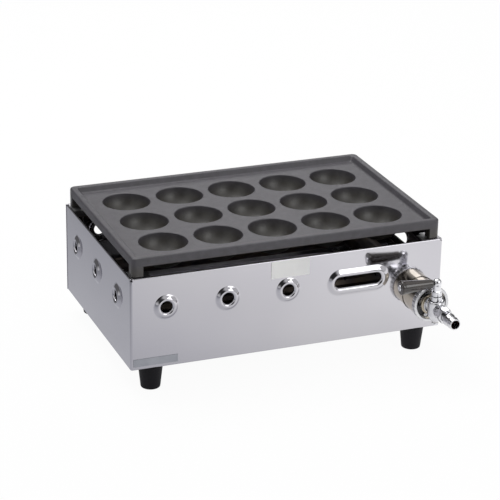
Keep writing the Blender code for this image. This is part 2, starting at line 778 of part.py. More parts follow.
def sheet_screw():
    """A pan-head sheet screw with its head above Z = 0."""
    return turned([(0, -SCREW_L), (SCREW_R, -SCREW_L), (SCREW_R, SEAT), (SCREW_HEAD_R, SEAT),
                   (SCREW_HEAD_R, SEAT + SCREW_HEAD_H / 2), (SCREW_HEAD_R * 2 / 3, SEAT + SCREW_HEAD_H),
                   (0, SEAT + SCREW_HEAD_H)], TINY_STEPS)


def make_sheet_screws(frame):
    """The screws of the rear panel, the base plate and the burner's rests."""
    for i, (along, height) in enumerate(rear_screw_spots()):
        shape = moved(sheet_screw(), on_wall("back", along, height))
        piece("rear_screw_%d" % (i + 1), shape, ZINC_SCREW, frame)
    for i, (x, y) in enumerate(base_screw_places()):
        piece("base_screw_%d" % (i + 1), sheet_screw(), ZINC_SCREW, frame,
              at=(x, y, 0), turn=(math.pi, 0, 0))
    for i, (x, y) in enumerate(rest_screw_places()):
        piece("rest_screw_%d" % (i + 1), sheet_screw(), ZINC_SCREW, frame,
              at=(x, y, BURNER_FLOOR_Z + REST_T))


def cup_places():
    """The middles of the cups."""
    half_columns, half_rows = (CUP_COLUMNS - 1) / 2, (CUP_ROWS - 1) / 2
    return [((column - half_columns) * CUP_PITCH_X, (row - half_rows) * CUP_PITCH_Y)
            for row in range(CUP_ROWS) for column in range(CUP_COLUMNS)]


def bowl(radius, depth, steps, rings, top):
    """A closed half-round bowl under Z = 0, carried up to a flat top."""
    angles = [math.pi / 2 * i / rings for i in range(rings + 1)]
    curve = [(radius * math.cos(a), -depth * math.sin(a)) for a in angles[:-1]]
    return turned([(0, top), (radius, top)] + curve + [(0, -depth)], steps)


def bowls(radius, depth, steps, rings, top):
    """One bowl at every cup."""
    return gathered([moved(bowl(radius, depth, steps, rings, top), Matrix.Translation((x, y, PLATE_TOP_Z)))
                     for x, y in cup_places()])


def make_pan(frame):
    """The cast pan: a rimmed tray on four corner legs, with a bowl under each cup."""
    outline = (PAN_W, PAN_D, PAN_CORNER_R, PAN_CORNER_STEPS)
    shape = loft([rounded_rectangle(*outline, height) for height in (LEG_FOOT_Z, PAN_TOP_Z)])
    pan = piece("takoyaki_pan", shape, CAST_IRON, frame)
    gap_low = LEG_FOOT_Z - OVERRUN
    leg_x, leg_y = PAN_W / 2 - LEG_SIDE, PAN_D / 2 - LEG_SIDE
    past_x, past_y = PAN_W / 2 + OVERRUN, PAN_D / 2 + OVERRUN
    cut(pan, box((-past_x, -leg_y, gap_low), (past_x, leg_y, PLATE_LOW_Z)))
    cut(pan, box((-leg_x, -past_y, gap_low), (leg_x, past_y, PLATE_LOW_Z)))
    join(pan, bowls(CUP_R + CUP_WALL, CUP_DEPTH + CUP_WALL, SHELL_STEPS, SHELL_RINGS, TRAY_DEPTH / 2))
    tray = []
    levels = ((RIM_W + RIM_DRAFT, PLATE_TOP_Z), (RIM_W, PAN_TOP_Z), (RIM_W, PAN_TOP_Z + OVERRUN))
    for inset, height in levels:
        tray.append(rounded_rectangle(PAN_W - 2 * inset, PAN_D - 2 * inset, PAN_CORNER_R / 2,
                                      PAN_CORNER_STEPS, height))
    cut(pan, loft(tray))
    cut(pan, bowls(CUP_R, CUP_DEPTH, CUP_STEPS, CUP_RINGS, OVERRUN))


def windows(middle, low, high):
    """The air windows of one of the damper's two plates."""
    return [sector(WINDOW_IN_R, WINDOW_OUT_R, middle + math.tau * i / WINDOW_COUNT, WINDOW_SPAN, low, high)
            for i in range(WINDOW_COUNT)]


def stop_screw_place():
    """The damper's stop screw, across the inlet's axis."""
    return Matrix.Translation((STOP_SCREW_CIRCLE_R * math.cos(STOP_SCREW_AT),
                               STOP_SCREW_CIRCLE_R * math.sin(STOP_SCREW_AT), 0))


def make_mixing_tube(inlet):
    """The air-mixing tube: a wide mouth with a windowed plate, drawn down to its throat."""
    bore, throat_bore = TUBE_R - TUBE_WALL, THROAT_R - THROAT_WALL
    plate = TUBE_MOUTH - TUBE_WALL
    profile = [(TUBE_R, TUBE_MOUTH), (HUB_NECK_R + SEAT, TUBE_MOUTH), (HUB_NECK_R + SEAT, plate),
               (bore, plate), (bore, TUBE_WIDE_END), (throat_bore, THROAT_START), (throat_bore, THROAT_END),
               (THROAT_R, THROAT_END), (THROAT_R, THROAT_START), (TUBE_R, TUBE_WIDE_END)]
    tube = piece("mixing_tube", turned(profile, ROUND_STEPS, ring=True), PASSIVATED, inlet)
    low, high = plate - OVERRUN, TUBE_MOUTH + OVERRUN
    screw_hole = moved(rod(STOP_SCREW_R + SEAT, low, high, TINY_STEPS), stop_screw_place())
    cut(tube, gathered(windows(MOUTH_WINDOW_AT, low, high) + [screw_hole]))


def make_damper(inlet):
    """The knurled damper ring with its windowed web, which turns on the hub's journal."""
    web = DAMPER_REAR + DAMPER_WEB
    boss = DAMPER_REAR + DAMPER_BOSS_L
    bore = HUB_JOURNAL_R + SEAT
    profile = [(DAMPER_R, DAMPER_REAR), (DAMPER_R, DAMPER_FRONT - DAMPER_CHAMFER),
               (DAMPER_R - DAMPER_CHAMFER, DAMPER_FRONT), (DAMPER_BORE_EDGE_R, DAMPER_FRONT),
               (DAMPER_BORE_EDGE_R, web), (DAMPER_BOSS_R, web), (DAMPER_BOSS_R, boss), (bore, boss),
               (bore, DAMPER_REAR)]
    damper = piece("damper_ring", turned(profile, ROUND_STEPS, ring=True), SATIN_RING, inlet)
    ribs = []
    for i in range(WINDOW_COUNT):
        angle = DAMPER_WINDOW_AT + RIB_FROM_WINDOW + math.tau * i / WINDOW_COUNT
        low = (DAMPER_BOSS_R - DAMPER_WEB / 2, -RIB_W / 2, web - DAMPER_WEB / 2)
        high = (DAMPER_BORE_EDGE_R + DAMPER_WEB / 2, RIB_W / 2, web + RIB_H)
        ribs.append(moved(box(low, high), Matrix.Rotation(angle, 4, "Z")))
    join(damper, gathered(ribs))
    cuts = windows(DAMPER_WINDOW_AT, DAMPER_REAR - OVERRUN, web + OVERRUN)
    for i in range(KNURL_COUNT):
        low = (DAMPER_R - KNURL_DEPTH, -KNURL_W / 2, DAMPER_REAR - OVERRUN)
        high = (DAMPER_R + OVERRUN, KNURL_W / 2, DAMPER_FRONT - DAMPER_CHAMFER)
        cuts.append(moved(box(low, high), Matrix.Rotation(math.tau * i / KNURL_COUNT, 4, "Z")))
    cut(damper, gathered(cuts))


def make_stop_screw(inlet):
    """The slotted screw that passes through a damper window into the mouth plate and stops the damper."""
    web = DAMPER_REAR + DAMPER_WEB
    head = web + SEAT
    tip = TUBE_MOUTH - TUBE_WALL
    profile = [(0, tip), (STOP_SCREW_R, tip), (STOP_SCREW_R, head), (STOP_HEAD_R, head),
               (STOP_HEAD_R, head + STOP_HEAD_H), (0, head + STOP_HEAD_H)]
    shape = moved(turned(profile, TINY_STEPS), stop_screw_place())
    screw = piece("damper_stop_screw", shape, ZINC_SCREW, inlet)
    past = STOP_HEAD_R + OVERRUN
    slot = box((-STOP_SLOT_W / 2, -past, head + STOP_HEAD_H / 2),
               (STOP_SLOT_W / 2, past, head + STOP_HEAD_H + OVERRUN))
    cut(screw, moved(slot, stop_screw_place()))


def make_hub(inlet):
    """The brass hub that carries the cock, its lock nut behind the mouth plate, and the gas jet."""
    socket = HUB_FRONT - HUB_SOCKET_L
    jet_socket = HUB_REAR + JET_SOCKET_L
    profile = [(HUB_FLANGE_R, HUB_FRONT), (HUB_FLANGE_R, HUB_FLANGE_REAR), (HUB_JOURNAL_R, HUB_FLANGE_REAR),
               (HUB_JOURNAL_R, DAMPER_REAR), (HUB_NECK_R, DAMPER_REAR), (HUB_NECK_R, HUB_REAR),
               (JET_SOCKET_R, HUB_REAR), (JET_SOCKET_R, jet_socket), (GAS_R, jet_socket), (GAS_R, socket),
               (HUB_SOCKET_R, socket), (HUB_SOCKET_R, HUB_FRONT)]
    piece("nozzle_hub", turned(profile, SMALL_STEPS, ring=True), BRASS, inlet)
    nut_front = TUBE_MOUTH - TUBE_WALL - SEAT
    nut = piece("hub_nut", hexagon(HUB_NUT_R, nut_front - HUB_NUT_L, nut_front), BRASS, inlet, smooth=False)
    cut(nut, rod(HUB_NECK_R + SEAT, nut_front - HUB_NUT_L - OVERRUN, nut_front + OVERRUN, ROUND_STEPS))
    hex_front = HUB_REAR - SEAT
    hex_rear = hex_front - JET_HEX_L
    nose = hex_rear - JET_NOSE
    jet = piece("gas_jet", hexagon(JET_HEX_R, hex_rear, hex_front), BRASS, inlet, smooth=False)
    join(jet, rod(JET_R, hex_rear + JET_HEX_L / 2, jet_socket - SEAT, TINY_STEPS))
    join(jet, turned([(0, nose), (JET_NOSE_R, nose), (JET_R, hex_rear + JET_HEX_L / 2),
                      (0, hex_rear + JET_HEX_L / 2)], TINY_STEPS))
    cut(jet, rod(JET_BORE_R, nose - OVERRUN, jet_socket + OVERRUN, TINY_STEPS))


def across_cock(shape):
    """Lay a shape made along the inlet's axis into the cock's upright frame."""
    place = Matrix.Translation((0, PLUG_AT, 0)) @ Matrix.Rotation(math.pi / 2, 4, "X")
    return moved(shape, place @ half_side(VENT_STEPS))


def make_cock_body(cock):
    """The cock's body: an upright barrel with a taper bore, on a body turned along the inlet's axis."""
    neck_rear = HUB_FRONT - HUB_SOCKET_L + SEAT
    collar = COCK_COLLAR_AT + COCK_COLLAR_T
    ring = COCK_RING_AT + COCK_RING_T
    along = [(0, neck_rear), (COCK_NECK_R, neck_rear), (COCK_NECK_R, COCK_COLLAR_AT),
             (COCK_COLLAR_R, COCK_COLLAR_AT), (COCK_COLLAR_R, collar), (COCK_FRONT_R, collar),
             (COCK_FRONT_R, COCK_RING_AT), (COCK_RING_R, COCK_RING_AT), (COCK_RING_R, ring),
             (COCK_FRONT_R, ring), (COCK_FRONT_R, COCK_FRONT_END), (0, COCK_FRONT_END)]
    body = piece("cock_body", across_cock(turned(along, VENT_STEPS)), CHROME, cock)
    barrel = [(0, -BARREL_FOOT), (BARREL_FOOT_R, -BARREL_FOOT), (BARREL_R, -BARREL_SIDE),
              (BARREL_R, BARREL_SIDE), (BARREL_TOP_R, BARREL_TOP), (0, BARREL_TOP)]
    join(body, turned(barrel, VENT_STEPS))
    stop_x = STOP_PIN_CIRCLE_R * math.cos(STOP_PIN_AT)
    stop_y = STOP_PIN_CIRCLE_R * math.sin(STOP_PIN_AT)
    pin = rod(STOP_PIN_R, BARREL_TOP - STOP_PIN_H / 2, BARREL_TOP + STOP_PIN_H, TINY_STEPS)
    join(body, moved(pin, Matrix.Translation((stop_x, stop_y, 0))))
    bore = [(0, -BARREL_FOOT - OVERRUN), (PLUG_FOOT_R + SEAT, -BARREL_FOOT - OVERRUN),
            (PLUG_FOOT_R + SEAT, -BARREL_FOOT), (PLUG_TOP_R + SEAT, BARREL_TOP),
            (PLUG_TOP_R + SEAT, BARREL_TOP + OVERRUN), (0, BARREL_TOP + OVERRUN)]
    cut(body, turned(bore, VENT_STEPS))
    gas = [(0, neck_rear - OVERRUN), (GAS_R, neck_rear - OVERRUN), (GAS_R, COCK_RING_AT),
           (COCK_FRONT_BORE_R, ring), (COCK_FRONT_BORE_R, COCK_FRONT_END + OVERRUN),
           (0, COCK_FRONT_END + OVERRUN)]
    cut(body, across_cock(turned(gas, TINY_STEPS)))


def make_plug(cock):
    """The taper plug: a notched head and spigot above, a stud below, and a cross hole for the gas."""
    head = BARREL_TOP + SEAT
    spigot = head + HEAD_H
    foot = -BARREL_FOOT - STUD_L
    profile = [(0, foot), (STUD_R, foot), (STUD_R, -BARREL_FOOT), (PLUG_FOOT_R, -BARREL_FOOT),
               (PLUG_TOP_R, BARREL_TOP), (PLUG_TOP_R, head), (HEAD_R, head), (HEAD_R, spigot),
               (SPIGOT_R, spigot), (SPIGOT_R, spigot + SPIGOT_H), (0, spigot + SPIGOT_H)]
    plug = piece("cock_plug", turned(profile, VENT_STEPS), CHROME, cock)
    span = QUARTER_TURN + 2 * NOTCH_MARGIN
    notch = sector(NOTCH_IN_R, HEAD_R + OVERRUN, STOP_PIN_AT - QUARTER_TURN / 2, span,
                   head - SEAT / 2, head + NOTCH_H)
    hole = moved(rod(PLUG_HOLE_R, -PLUG_TOP_R - OVERRUN, PLUG_TOP_R + OVERRUN, TINY_STEPS),
                 Matrix.Rotation(math.pi / 2, 4, "Y") @ half_side(TINY_STEPS))
    cut(plug, gathered([notch, hole, lever_pin_hole()]))


def lever_pin_height():
    """The cross pin's height, halfway up the plug's spigot."""
    return BARREL_TOP + SEAT + HEAD_H + SPIGOT_H / 2


def lever_pin_hole():
    """The hole that the cross pin fills, through the lever's hub and the plug's spigot."""
    past = LEVER_HUB_R + OVERRUN
    place = Matrix.Translation((0, 0, lever_pin_height())) @ Matrix.Rotation(math.pi / 2, 4, "X")
    return moved(rod(PIN_R + SEAT, -past, past, TINY_STEPS), place @ half_side(TINY_STEPS))


def make_plug_fasteners(cock):
    """The washer, the spring washer and the nut under the plug."""
    washer = -BARREL_FOOT - SEAT
    spring = washer - WASHER_T - SEAT
    nut = spring - SPRING_WASHER_T - SEAT
    piece("plug_washer", pipe(STUD_R + SEAT, WASHER_R, washer - WASHER_T, washer, VENT_STEPS), CHROME, cock)
    ring = piece("plug_spring_washer",
                 pipe(STUD_R + SEAT, SPRING_WASHER_R, spring - SPRING_WASHER_T, spring, VENT_STEPS),
                 ZINC_SCREW, cock)
    cut(ring, box((0, -SPRING_WASHER_GAP / 2, spring - SPRING_WASHER_T - OVERRUN),
                  (SPRING_WASHER_R + OVERRUN, SPRING_WASHER_GAP / 2, spring + OVERRUN)))
    hex_nut = piece("plug_nut", hexagon(PLUG_NUT_R, nut - PLUG_NUT_H, nut), CHROME, cock, smooth=False)
    cut(hex_nut, rod(STUD_R + SEAT, nut - PLUG_NUT_H - OVERRUN, nut + OVERRUN, TINY_STEPS))


def towards_grip(shape):
    """Lay a shape made along Z onto the grip's axis, pointing to -X."""
    place = Matrix.Translation((0, 0, GRIP_RISE)) @ Matrix.Rotation(-math.pi / 2, 4, "Y")
    return moved(shape, place @ half_side(TINY_STEPS))


def make_lever(cock):
    """The lever: a hub on the plug's spigot, a flat stem and a ball that holds the grip's rod."""
    low = BARREL_TOP + SEAT + HEAD_H + SEAT
    lever = piece("lever_arm", rod(LEVER_HUB_R, low, low + LEVER_HUB_H, VENT_STEPS), CHROME, cock)
    stem = box((-STEM_W / 2, -STEM_T / 2, low + LEVER_HUB_H / 2), (STEM_W / 2, STEM_T / 2, GRIP_RISE))
    upright = [edge for edge in stem.edges if abs(edge.verts[0].co.z - edge.verts[1].co.z) > MERGE]
    bmesh.ops.bevel(stem, geom=upright, offset=STEM_EDGE, segments=2, profile=0.5, affect="EDGES")
    join(lever, stem)
    angles = [math.pi * (i / BALL_RINGS - 1 / 2) for i in range(BALL_RINGS + 1)]
    ball = [(BALL_R * math.cos(a), GRIP_RISE + BALL_R * math.sin(a)) for a in angles[1:-1]]
    join(lever, turned([(0, GRIP_RISE - BALL_R)] + ball + [(0, GRIP_RISE + BALL_R)], VENT_STEPS))
    rod_hole = towards_grip(rod(ROD_R + SEAT, ROD_IN_BALL - SEAT, BALL_R + OVERRUN, TINY_STEPS))
    spigot_hole = rod(SPIGOT_R + SEAT, low - OVERRUN, low + SPIGOT_H, VENT_STEPS)
    cut(lever, gathered([rod_hole, spigot_hole]))
    cut(lever, lever_pin_hole())
    half = LEVER_HUB_R - PIN_R / 2
    piece("lever_pin", moved(rod(PIN_R, -half, half, TINY_STEPS), half_side(TINY_STEPS)), ZINC_SCREW, cock,
          at=(0, 0, lever_pin_height()), turn=(math.pi / 2, 0, 0))


def make_grip(cock):
    """The tapered grip with its flared end, and the rod that holds it to the lever."""
    bore = ROD_R + SEAT
    flare = GRIP_END - GRIP_FLARE_L
    half_edge = GRIP_EDGE / 2
    grip = [(bore, GRIP_START), (GRIP_NECK_R - half_edge, GRIP_START), (GRIP_NECK_R, GRIP_START + half_edge),
            (GRIP_WIDE_R, flare), (GRIP_FLARE_R, flare + half_edge), (GRIP_FLARE_R, GRIP_END - GRIP_EDGE),
            (GRIP_FLARE_R - GRIP_EDGE, GRIP_END), (bore, GRIP_END)]
    piece("lever_grip", towards_grip(turned(grip, SMALL_STEPS, ring=True)), BAKELITE, cock)
    cap = GRIP_END + SEAT
    fixing = [(0, ROD_IN_BALL), (ROD_R, ROD_IN_BALL), (ROD_R, cap), (ROD_CAP_R, cap),
              (ROD_CAP_R, cap + ROD_CAP_T / 2), (ROD_CAP_R * 2 / 3, cap + ROD_CAP_T), (0, cap + ROD_CAP_T)]
    piece("grip_rod", towards_grip(turned(fixing, TINY_STEPS)), CHROME, cock)


def make_nipple(inlet):
    """The barbed hose nipple, its gasket and the union nut that holds them on the cock."""
    gasket = COCK_FRONT_END + SEAT
    flange = gasket + GASKET_T + SEAT
    flange_front = flange + NIPPLE_FLANGE_T
    piece("nipple_gasket", pipe(COCK_FRONT_BORE_R, GASKET_R, gasket, gasket + GASKET_T, VENT_STEPS),
          FIBRE, inlet)
    nipple = [(NIPPLE_BORE_R, flange), (NIPPLE_FLANGE_R, flange), (NIPPLE_FLANGE_R, flange_front),
              (NIPPLE_NECK_R, flange_front), (NIPPLE_NECK_R, BARB_START), (BARB_R, BARB_CREST),
              (BARB_R, BARB_BACK), (BARB_MID_R, BARB_MID), (BARB_LIP_R, BARB_LIP),
              (NIPPLE_TIP_R, NIPPLE_TIP - NIPPLE_EDGE), (NIPPLE_TIP_R - NIPPLE_EDGE / 2, NIPPLE_TIP),
              (NIPPLE_BORE_R, NIPPLE_TIP)]
    piece("hose_nipple", turned(nipple, SMALL_STEPS, ring=True), CHROME, inlet)
    nut = piece("nipple_nut", hexagon(NUT_HEX_R, NUT_HEX_START, NUT_END), CHROME, inlet, smooth=False)
    join(nut, rod(NUT_RING_R, NUT_START, NUT_HEX_START + NUT_FRONT_WALL, SMALL_STEPS))
    inside = NUT_END - NUT_FRONT_WALL
    hollow = [(0, NUT_START - OVERRUN), (COCK_FRONT_R + SEAT, NUT_START - OVERRUN),
              (COCK_FRONT_R + SEAT, inside), (NIPPLE_NECK_R + SEAT, inside),
              (NIPPLE_NECK_R + SEAT, NUT_END + OVERRUN), (0, NUT_END + OVERRUN)]
    cut(nut, turned(hollow, SMALL_STEPS))


def burner_rows():
    """The burners' places from front to back: one under each row of cups."""
    return [(name, (i - 1) * CUP_PITCH_Y) for i, name in enumerate(("front", "middle", "rear"))]


def along_case(shape, x, y):
    """Lay a shape made along Z onto a line towards -X at the burner's height."""
    place = Matrix.Translation((x, y, INLET_Z)) @ Matrix.Rotation(-math.pi / 2, 4, "Y")
    return moved(shape, place @ half_side(VENT_STEPS))


def make_manifold(frame):
    """The manifold: a closed pipe along the right side with a stub for each burner."""
    front = -HALF_D - THROAT_END - MANIFOLD_LAP
    bore = MANIFOLD_R - MANIFOLD_WALL
    place = Matrix.Translation((INLET_X, 0, INLET_Z)) @ Matrix.Rotation(math.pi / 2, 4, "X")
    outer = moved(rod(MANIFOLD_R, -MANIFOLD_REAR_Y, -front, SMALL_STEPS), place @ half_side(SMALL_STEPS))
    manifold = piece("burner_manifold", outer, BURNER_STEEL, frame)
    start, end = bore / 2, MANIFOLD_R + STUB_L
    stubs = [along_case(rod(STUB_R, start, end, VENT_STEPS), INLET_X, y) for _, y in burner_rows()]
    join(manifold, gathered(stubs))
    inner = moved(rod(bore, MANIFOLD_WALL - MANIFOLD_REAR_Y, OVERRUN - front, SMALL_STEPS), place)
    cut(manifold, inner)
    ways = [along_case(rod(STUB_R - STUB_WALL, bore / 3, end + OVERRUN, VENT_STEPS), INLET_X, y)
            for _, y in burner_rows()]
    cut(manifold, gathered(ways))


def make_burners(frame):
    """Three burner pipes with a row of ports along the top of each."""
    start = MANIFOLD_R + SEAT
    end = INLET_X - BURNER_LEFT_X
    bore = BURNER_R - BURNER_WALL
    profile = [(0, end - BURNER_WALL), (bore, end - BURNER_WALL), (bore, start), (BURNER_R, start),
               (BURNER_R, end), (0, end)]
    for name, y in burner_rows():
        shape = along_case(turned(profile, VENT_STEPS), INLET_X, y)
        burner = piece("burner_" + name, shape, BURNER_STEEL, frame)
        top = INLET_Z + BURNER_R
        ports = []
        for i in range(PORT_COUNT):
            x = PORT_FIRST_X + i * PORT_PITCH
            ports.append(box((x - PORT_W / 2, y - BURNER_R, top - PORT_DEPTH),
                             (x + PORT_W / 2, y + BURNER_R, top + OVERRUN)))
        cut(burner, gathered(ports))


def make_rests(frame):
    """The folded rest under the burners' left ends and the one under the manifold."""
    section = [(0, 0), (0, INLET_Z - BURNER_FLOOR_Z), (-REST_T, INLET_Z - BURNER_FLOOR_Z), (-REST_T, REST_T),
               (-REST_FOOT_W, REST_T), (-REST_FOOT_W, 0)]
    half = CUP_PITCH_Y + REST_END
    rest = piece("burner_rest", swept([(REST_X, -half), (REST_X, half)], section), DULL_SHEET, frame,
                 at=(0, 0, BURNER_FLOOR_Z), smooth=False)
    height = INLET_Z - BURNER_FLOOR_Z
    past = REST_T + OVERRUN
    saddle = (Matrix.Translation((REST_X, 0, height)) @ Matrix.Rotation(math.pi / 2, 4, "Y") @
              half_side(VENT_STEPS))
    cradles = [moved(rod(BURNER_R + SEAT, -past, past, VENT_STEPS), Matrix.Translation((0, y, 0)) @ saddle)
               for _, y in burner_rows()]
    holes = [moved(rod(SCREW_R + SEAT, -OVERRUN, past, TINY_STEPS), Matrix.Translation((x, y, 0)))
             for x, y in rest_screw_places()[:2]]
    cut(rest, gathered(cradles + holes))
    left, right = INLET_X - MANIFOLD_REST_W / 2, INLET_X + MANIFOLD_REST_W / 2
    path = [(left, MANIFOLD_REST_Y), (right, MANIFOLD_REST_Y)]
    stand = piece("manifold_rest", swept(path, section), DULL_SHEET, frame, at=(0, 0, BURNER_FLOOR_Z),
                  smooth=False)
    across = Matrix.Translation((INLET_X, MANIFOLD_REST_Y, height)) @ Matrix.Rotation(math.pi / 2, 4, "X")
    cradle = moved(rod(MANIFOLD_R + SEAT, -past, past, SMALL_STEPS), across @ half_side(SMALL_STEPS))
    hole_x, hole_y = rest_screw_places()[2]
    hole = moved(rod(SCREW_R + SEAT, -OVERRUN, past, TINY_STEPS), Matrix.Translation((hole_x, hole_y, 0)))
    cut(stand, gathered([cradle, hole]))


def main():
    """Build the whole object."""
    clear_scene()
    frame = empty("casing_frame", None, at=(0, CASE_Y, FOOT_H))
    inlet = empty("inlet_axis", frame, at=(INLET_X, -HALF_D, INLET_Z), turn=(math.pi / 2, 0, 0))
    cock = empty("cock_axis", frame, at=(INLET_X, -HALF_D - PLUG_AT, INLET_Z))
    make_casing_wrap(frame)
    make_rear_panel(frame)
    make_base_plate(frame)
    make_ledges(frame)
    make_front_foils(frame)
    make_feet(frame)
    make_sheet_screws(frame)
    make_pan(frame)
    make_manifold(frame)
    make_burners(frame)
    make_rests(frame)
    make_mixing_tube(inlet)
    make_damper(inlet)
    make_stop_screw(inlet)
    make_hub(inlet)
    make_cock_body(cock)
    make_plug(cock)
    make_plug_fasteners(cock)
    make_lever(cock)
    make_grip(cock)
    make_nipple(inlet)


main()
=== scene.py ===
# %% [markdown]
# # A countertop gas takoyaki maker
#
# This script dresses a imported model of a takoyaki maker: a polished sheet casing on rubber feet, a cast pan
# with round cups, and a gas cock with an air-mixing tube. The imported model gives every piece's true place.
# Each step below makes one visible piece or one finish and says why it is made that way.

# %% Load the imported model
import math

import bmesh
import bpy
import numpy as np
from mathutils import Matrix, Quaternion, Vector


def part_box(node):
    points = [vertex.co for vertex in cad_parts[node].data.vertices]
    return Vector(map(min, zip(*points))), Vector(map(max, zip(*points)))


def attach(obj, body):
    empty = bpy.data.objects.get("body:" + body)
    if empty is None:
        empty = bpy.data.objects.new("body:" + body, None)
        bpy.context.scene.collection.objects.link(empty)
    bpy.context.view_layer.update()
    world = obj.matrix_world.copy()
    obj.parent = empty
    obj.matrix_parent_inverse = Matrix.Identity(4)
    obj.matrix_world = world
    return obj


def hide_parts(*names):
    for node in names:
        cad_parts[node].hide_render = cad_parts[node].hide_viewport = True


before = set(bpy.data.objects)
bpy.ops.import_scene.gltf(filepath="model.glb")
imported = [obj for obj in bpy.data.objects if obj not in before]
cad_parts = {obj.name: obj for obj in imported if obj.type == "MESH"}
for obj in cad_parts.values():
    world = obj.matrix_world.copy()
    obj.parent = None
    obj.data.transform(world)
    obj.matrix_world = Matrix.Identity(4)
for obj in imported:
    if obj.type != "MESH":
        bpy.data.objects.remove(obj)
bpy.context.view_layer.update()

# %% [markdown]
# ## The camera
#
# The photograph was taken with a long lens from the front left, looking down a little. A camera fitted to
# the casing's corners and the cups gives its place, the point it aims at and a slight roll. A long lens keeps
# upright edges nearly parallel, which is why catalogue pictures of box-shaped appliances use one.

# %% Camera
def new_object(name, data):
    """Put an object with this data into the scene."""
    item = bpy.data.objects.new(name, data)
    bpy.context.scene.collection.objects.link(item)
    return item


lens_data = bpy.data.cameras.new("photo_camera")
lens_data.sensor_width, lens_data.lens = 36.0, 147.6
camera = new_object("photo_camera", lens_data)
camera.location = (-0.62778, -1.54099, 0.76927)
aim = Vector((0.00127, 0.03887, 0.07487)) - camera.location
camera.rotation_mode = "QUATERNION"
camera.rotation_quaternion = aim.to_track_quat("-Z", "Y") @ Quaternion((0, 0, 1), math.radians(1.063))
bpy.context.scene.camera = camera
print("camera to aim point: %.2f m" % aim.length)

# %% [markdown]
# ## Points become a mesh
#
# Nearly every piece here is a surface worked out with numpy: a grid of points, where each point follows from
# two parameters. Neighbouring points make four-sided faces. One function turns grids into faces, and another
# joins several grids into one object, merges the points they share and closes the poles.

# %% Grids of points
def surface(grid, around=False):
    """Faces between neighbours in a grid (rows, columns, xyz); around joins the last column to the first."""
    rows, columns = grid.shape[:2]
    index = np.arange(rows * columns).reshape(rows, columns)
    if around:
        index = np.hstack([index, index[:, :1]])
    faces = np.stack([index[:-1, :-1], index[:-1, 1:], index[1:, 1:], index[1:, :-1]], axis=-1)
    return grid.reshape(-1, 3), faces.reshape(-1, 4)


def placed(shape, matrix):
    """Carry a surface's points by a 4 x 4 matrix: p' = R p + t."""
    points, faces = shape
    place = np.array(matrix)
    return points @ place[:3, :3].T + place[:3, 3], faces


def flipped(shape):
    """The same surface facing the other way: each face lists its corners backwards."""
    points, faces = shape
    return points, faces[:, ::-1]


# %% Surfaces become an object
MERGE = 1e-6
SHARP = math.radians(42)


def mesh_object(name, shapes, closed):
    """Join surfaces into one smooth mesh object; on a closed skin the faces are then turned outwards."""
    starts = np.cumsum([0] + [len(points) for points, _ in shapes])
    points = np.concatenate([points for points, _ in shapes])
    faces = np.concatenate([faces + start for (_, faces), start in zip(shapes, starts)])
    mesh = bpy.data.meshes.new(name)
    mesh.from_pydata(points, [], faces)
    sheet = bmesh.new()
    sheet.from_mesh(mesh)
    bmesh.ops.remove_doubles(sheet, verts=sheet.verts, dist=MERGE)
    bmesh.ops.dissolve_degenerate(sheet, edges=sheet.edges, dist=MERGE / 10)
    if closed:
        bmesh.ops.recalc_face_normals(sheet, faces=sheet.faces)
    sheet.to_mesh(mesh)
    sheet.free()
    mesh.shade_smooth()
    mesh.set_sharp_from_angle(angle=SHARP)
    return new_object(name, mesh)


# %% [markdown]
# ## Finishing a piece
#
# A fine piece takes the place of a plain piece of the imported model. It rides on the same moving body and gets
# the material of its finish. Flat faces next to small curves shade badly when their normals are averaged, so each
# piece gets a Weighted Normal modifier: large faces then decide the normal, and a mirror-like panel stays flat
# right up to its bend.

# %% Put a piece on its body
def make_piece(name, shapes, material, body, place=None, closed=True, wall=None):
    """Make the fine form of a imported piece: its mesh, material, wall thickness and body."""
    if place is not None:
        shapes = [placed(shape, place) for shape in shapes]
    piece = mesh_object(name + "_fine", shapes, closed)
    piece.data.materials.append(material)
    if wall:
        skin = piece.modifiers.new("wall", "SOLIDIFY")
        skin.thickness, skin.offset, skin.use_even_offset = wall, -1, False
    weighted = piece.modifiers.new("flat faces stay flat", "WEIGHTED_NORMAL")
    weighted.keep_sharp = True
    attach(piece, body)
    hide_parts(name)
    print("%-18s %6d faces" % (piece.name, len(piece.data.polygons)))


# %% [markdown]
# ## Profiles
#
# Turned and pressed metal has no knife edges. A profile is drawn with sharp corners, and then each corner
# gives way to a short curve. The curve is a quadratic Bezier: it starts a little before the corner, is
# pulled towards it, and ends a little after it.

# %% Ease the corners of a profile
def eased(profile, reach, steps=4):
    """Round an open profile's inner corners; reach (one, or one per corner) is how far off a curve starts."""
    points = np.asarray(profile, dtype=float)
    before, corner, after = points[:-2], points[1:-1], points[2:]
    back, ahead = before - corner, after - corner
    length_back = np.linalg.norm(back, axis=1, keepdims=True)
    length_ahead = np.linalg.norm(ahead, axis=1, keepdims=True)
    limit = np.minimum(np.minimum(length_back, length_ahead) * 0.49, reach)
    start, end = corner + back / length_back * limit, corner + ahead / length_ahead * limit
    t = np.linspace(0, 1, steps + 1)[None, :, None]
    curve = (1 - t) ** 2 * start[:, None] + 2 * t * (1 - t) * corner[:, None] + t ** 2 * end[:, None]
    return np.vstack([points[:1], curve.reshape(-1, points.shape[1]), points[-1:]])


def spun(radius, height, angle):
    """Points (r cos a, r sin a, z): rows go along a profile and columns round it; r and z may vary in both."""
    grid = np.broadcast_arrays(radius * np.cos(angle), radius * np.sin(angle), height)
    return surface(np.stack(grid, axis=-1), around=True)


def turned(profile, steps=64):
    """Spin (radius, height) points about Z."""
    radius, height = np.asarray(profile, dtype=float).T[..., None]
    return spun(radius, height, np.linspace(0, math.tau, steps, endpoint=False))


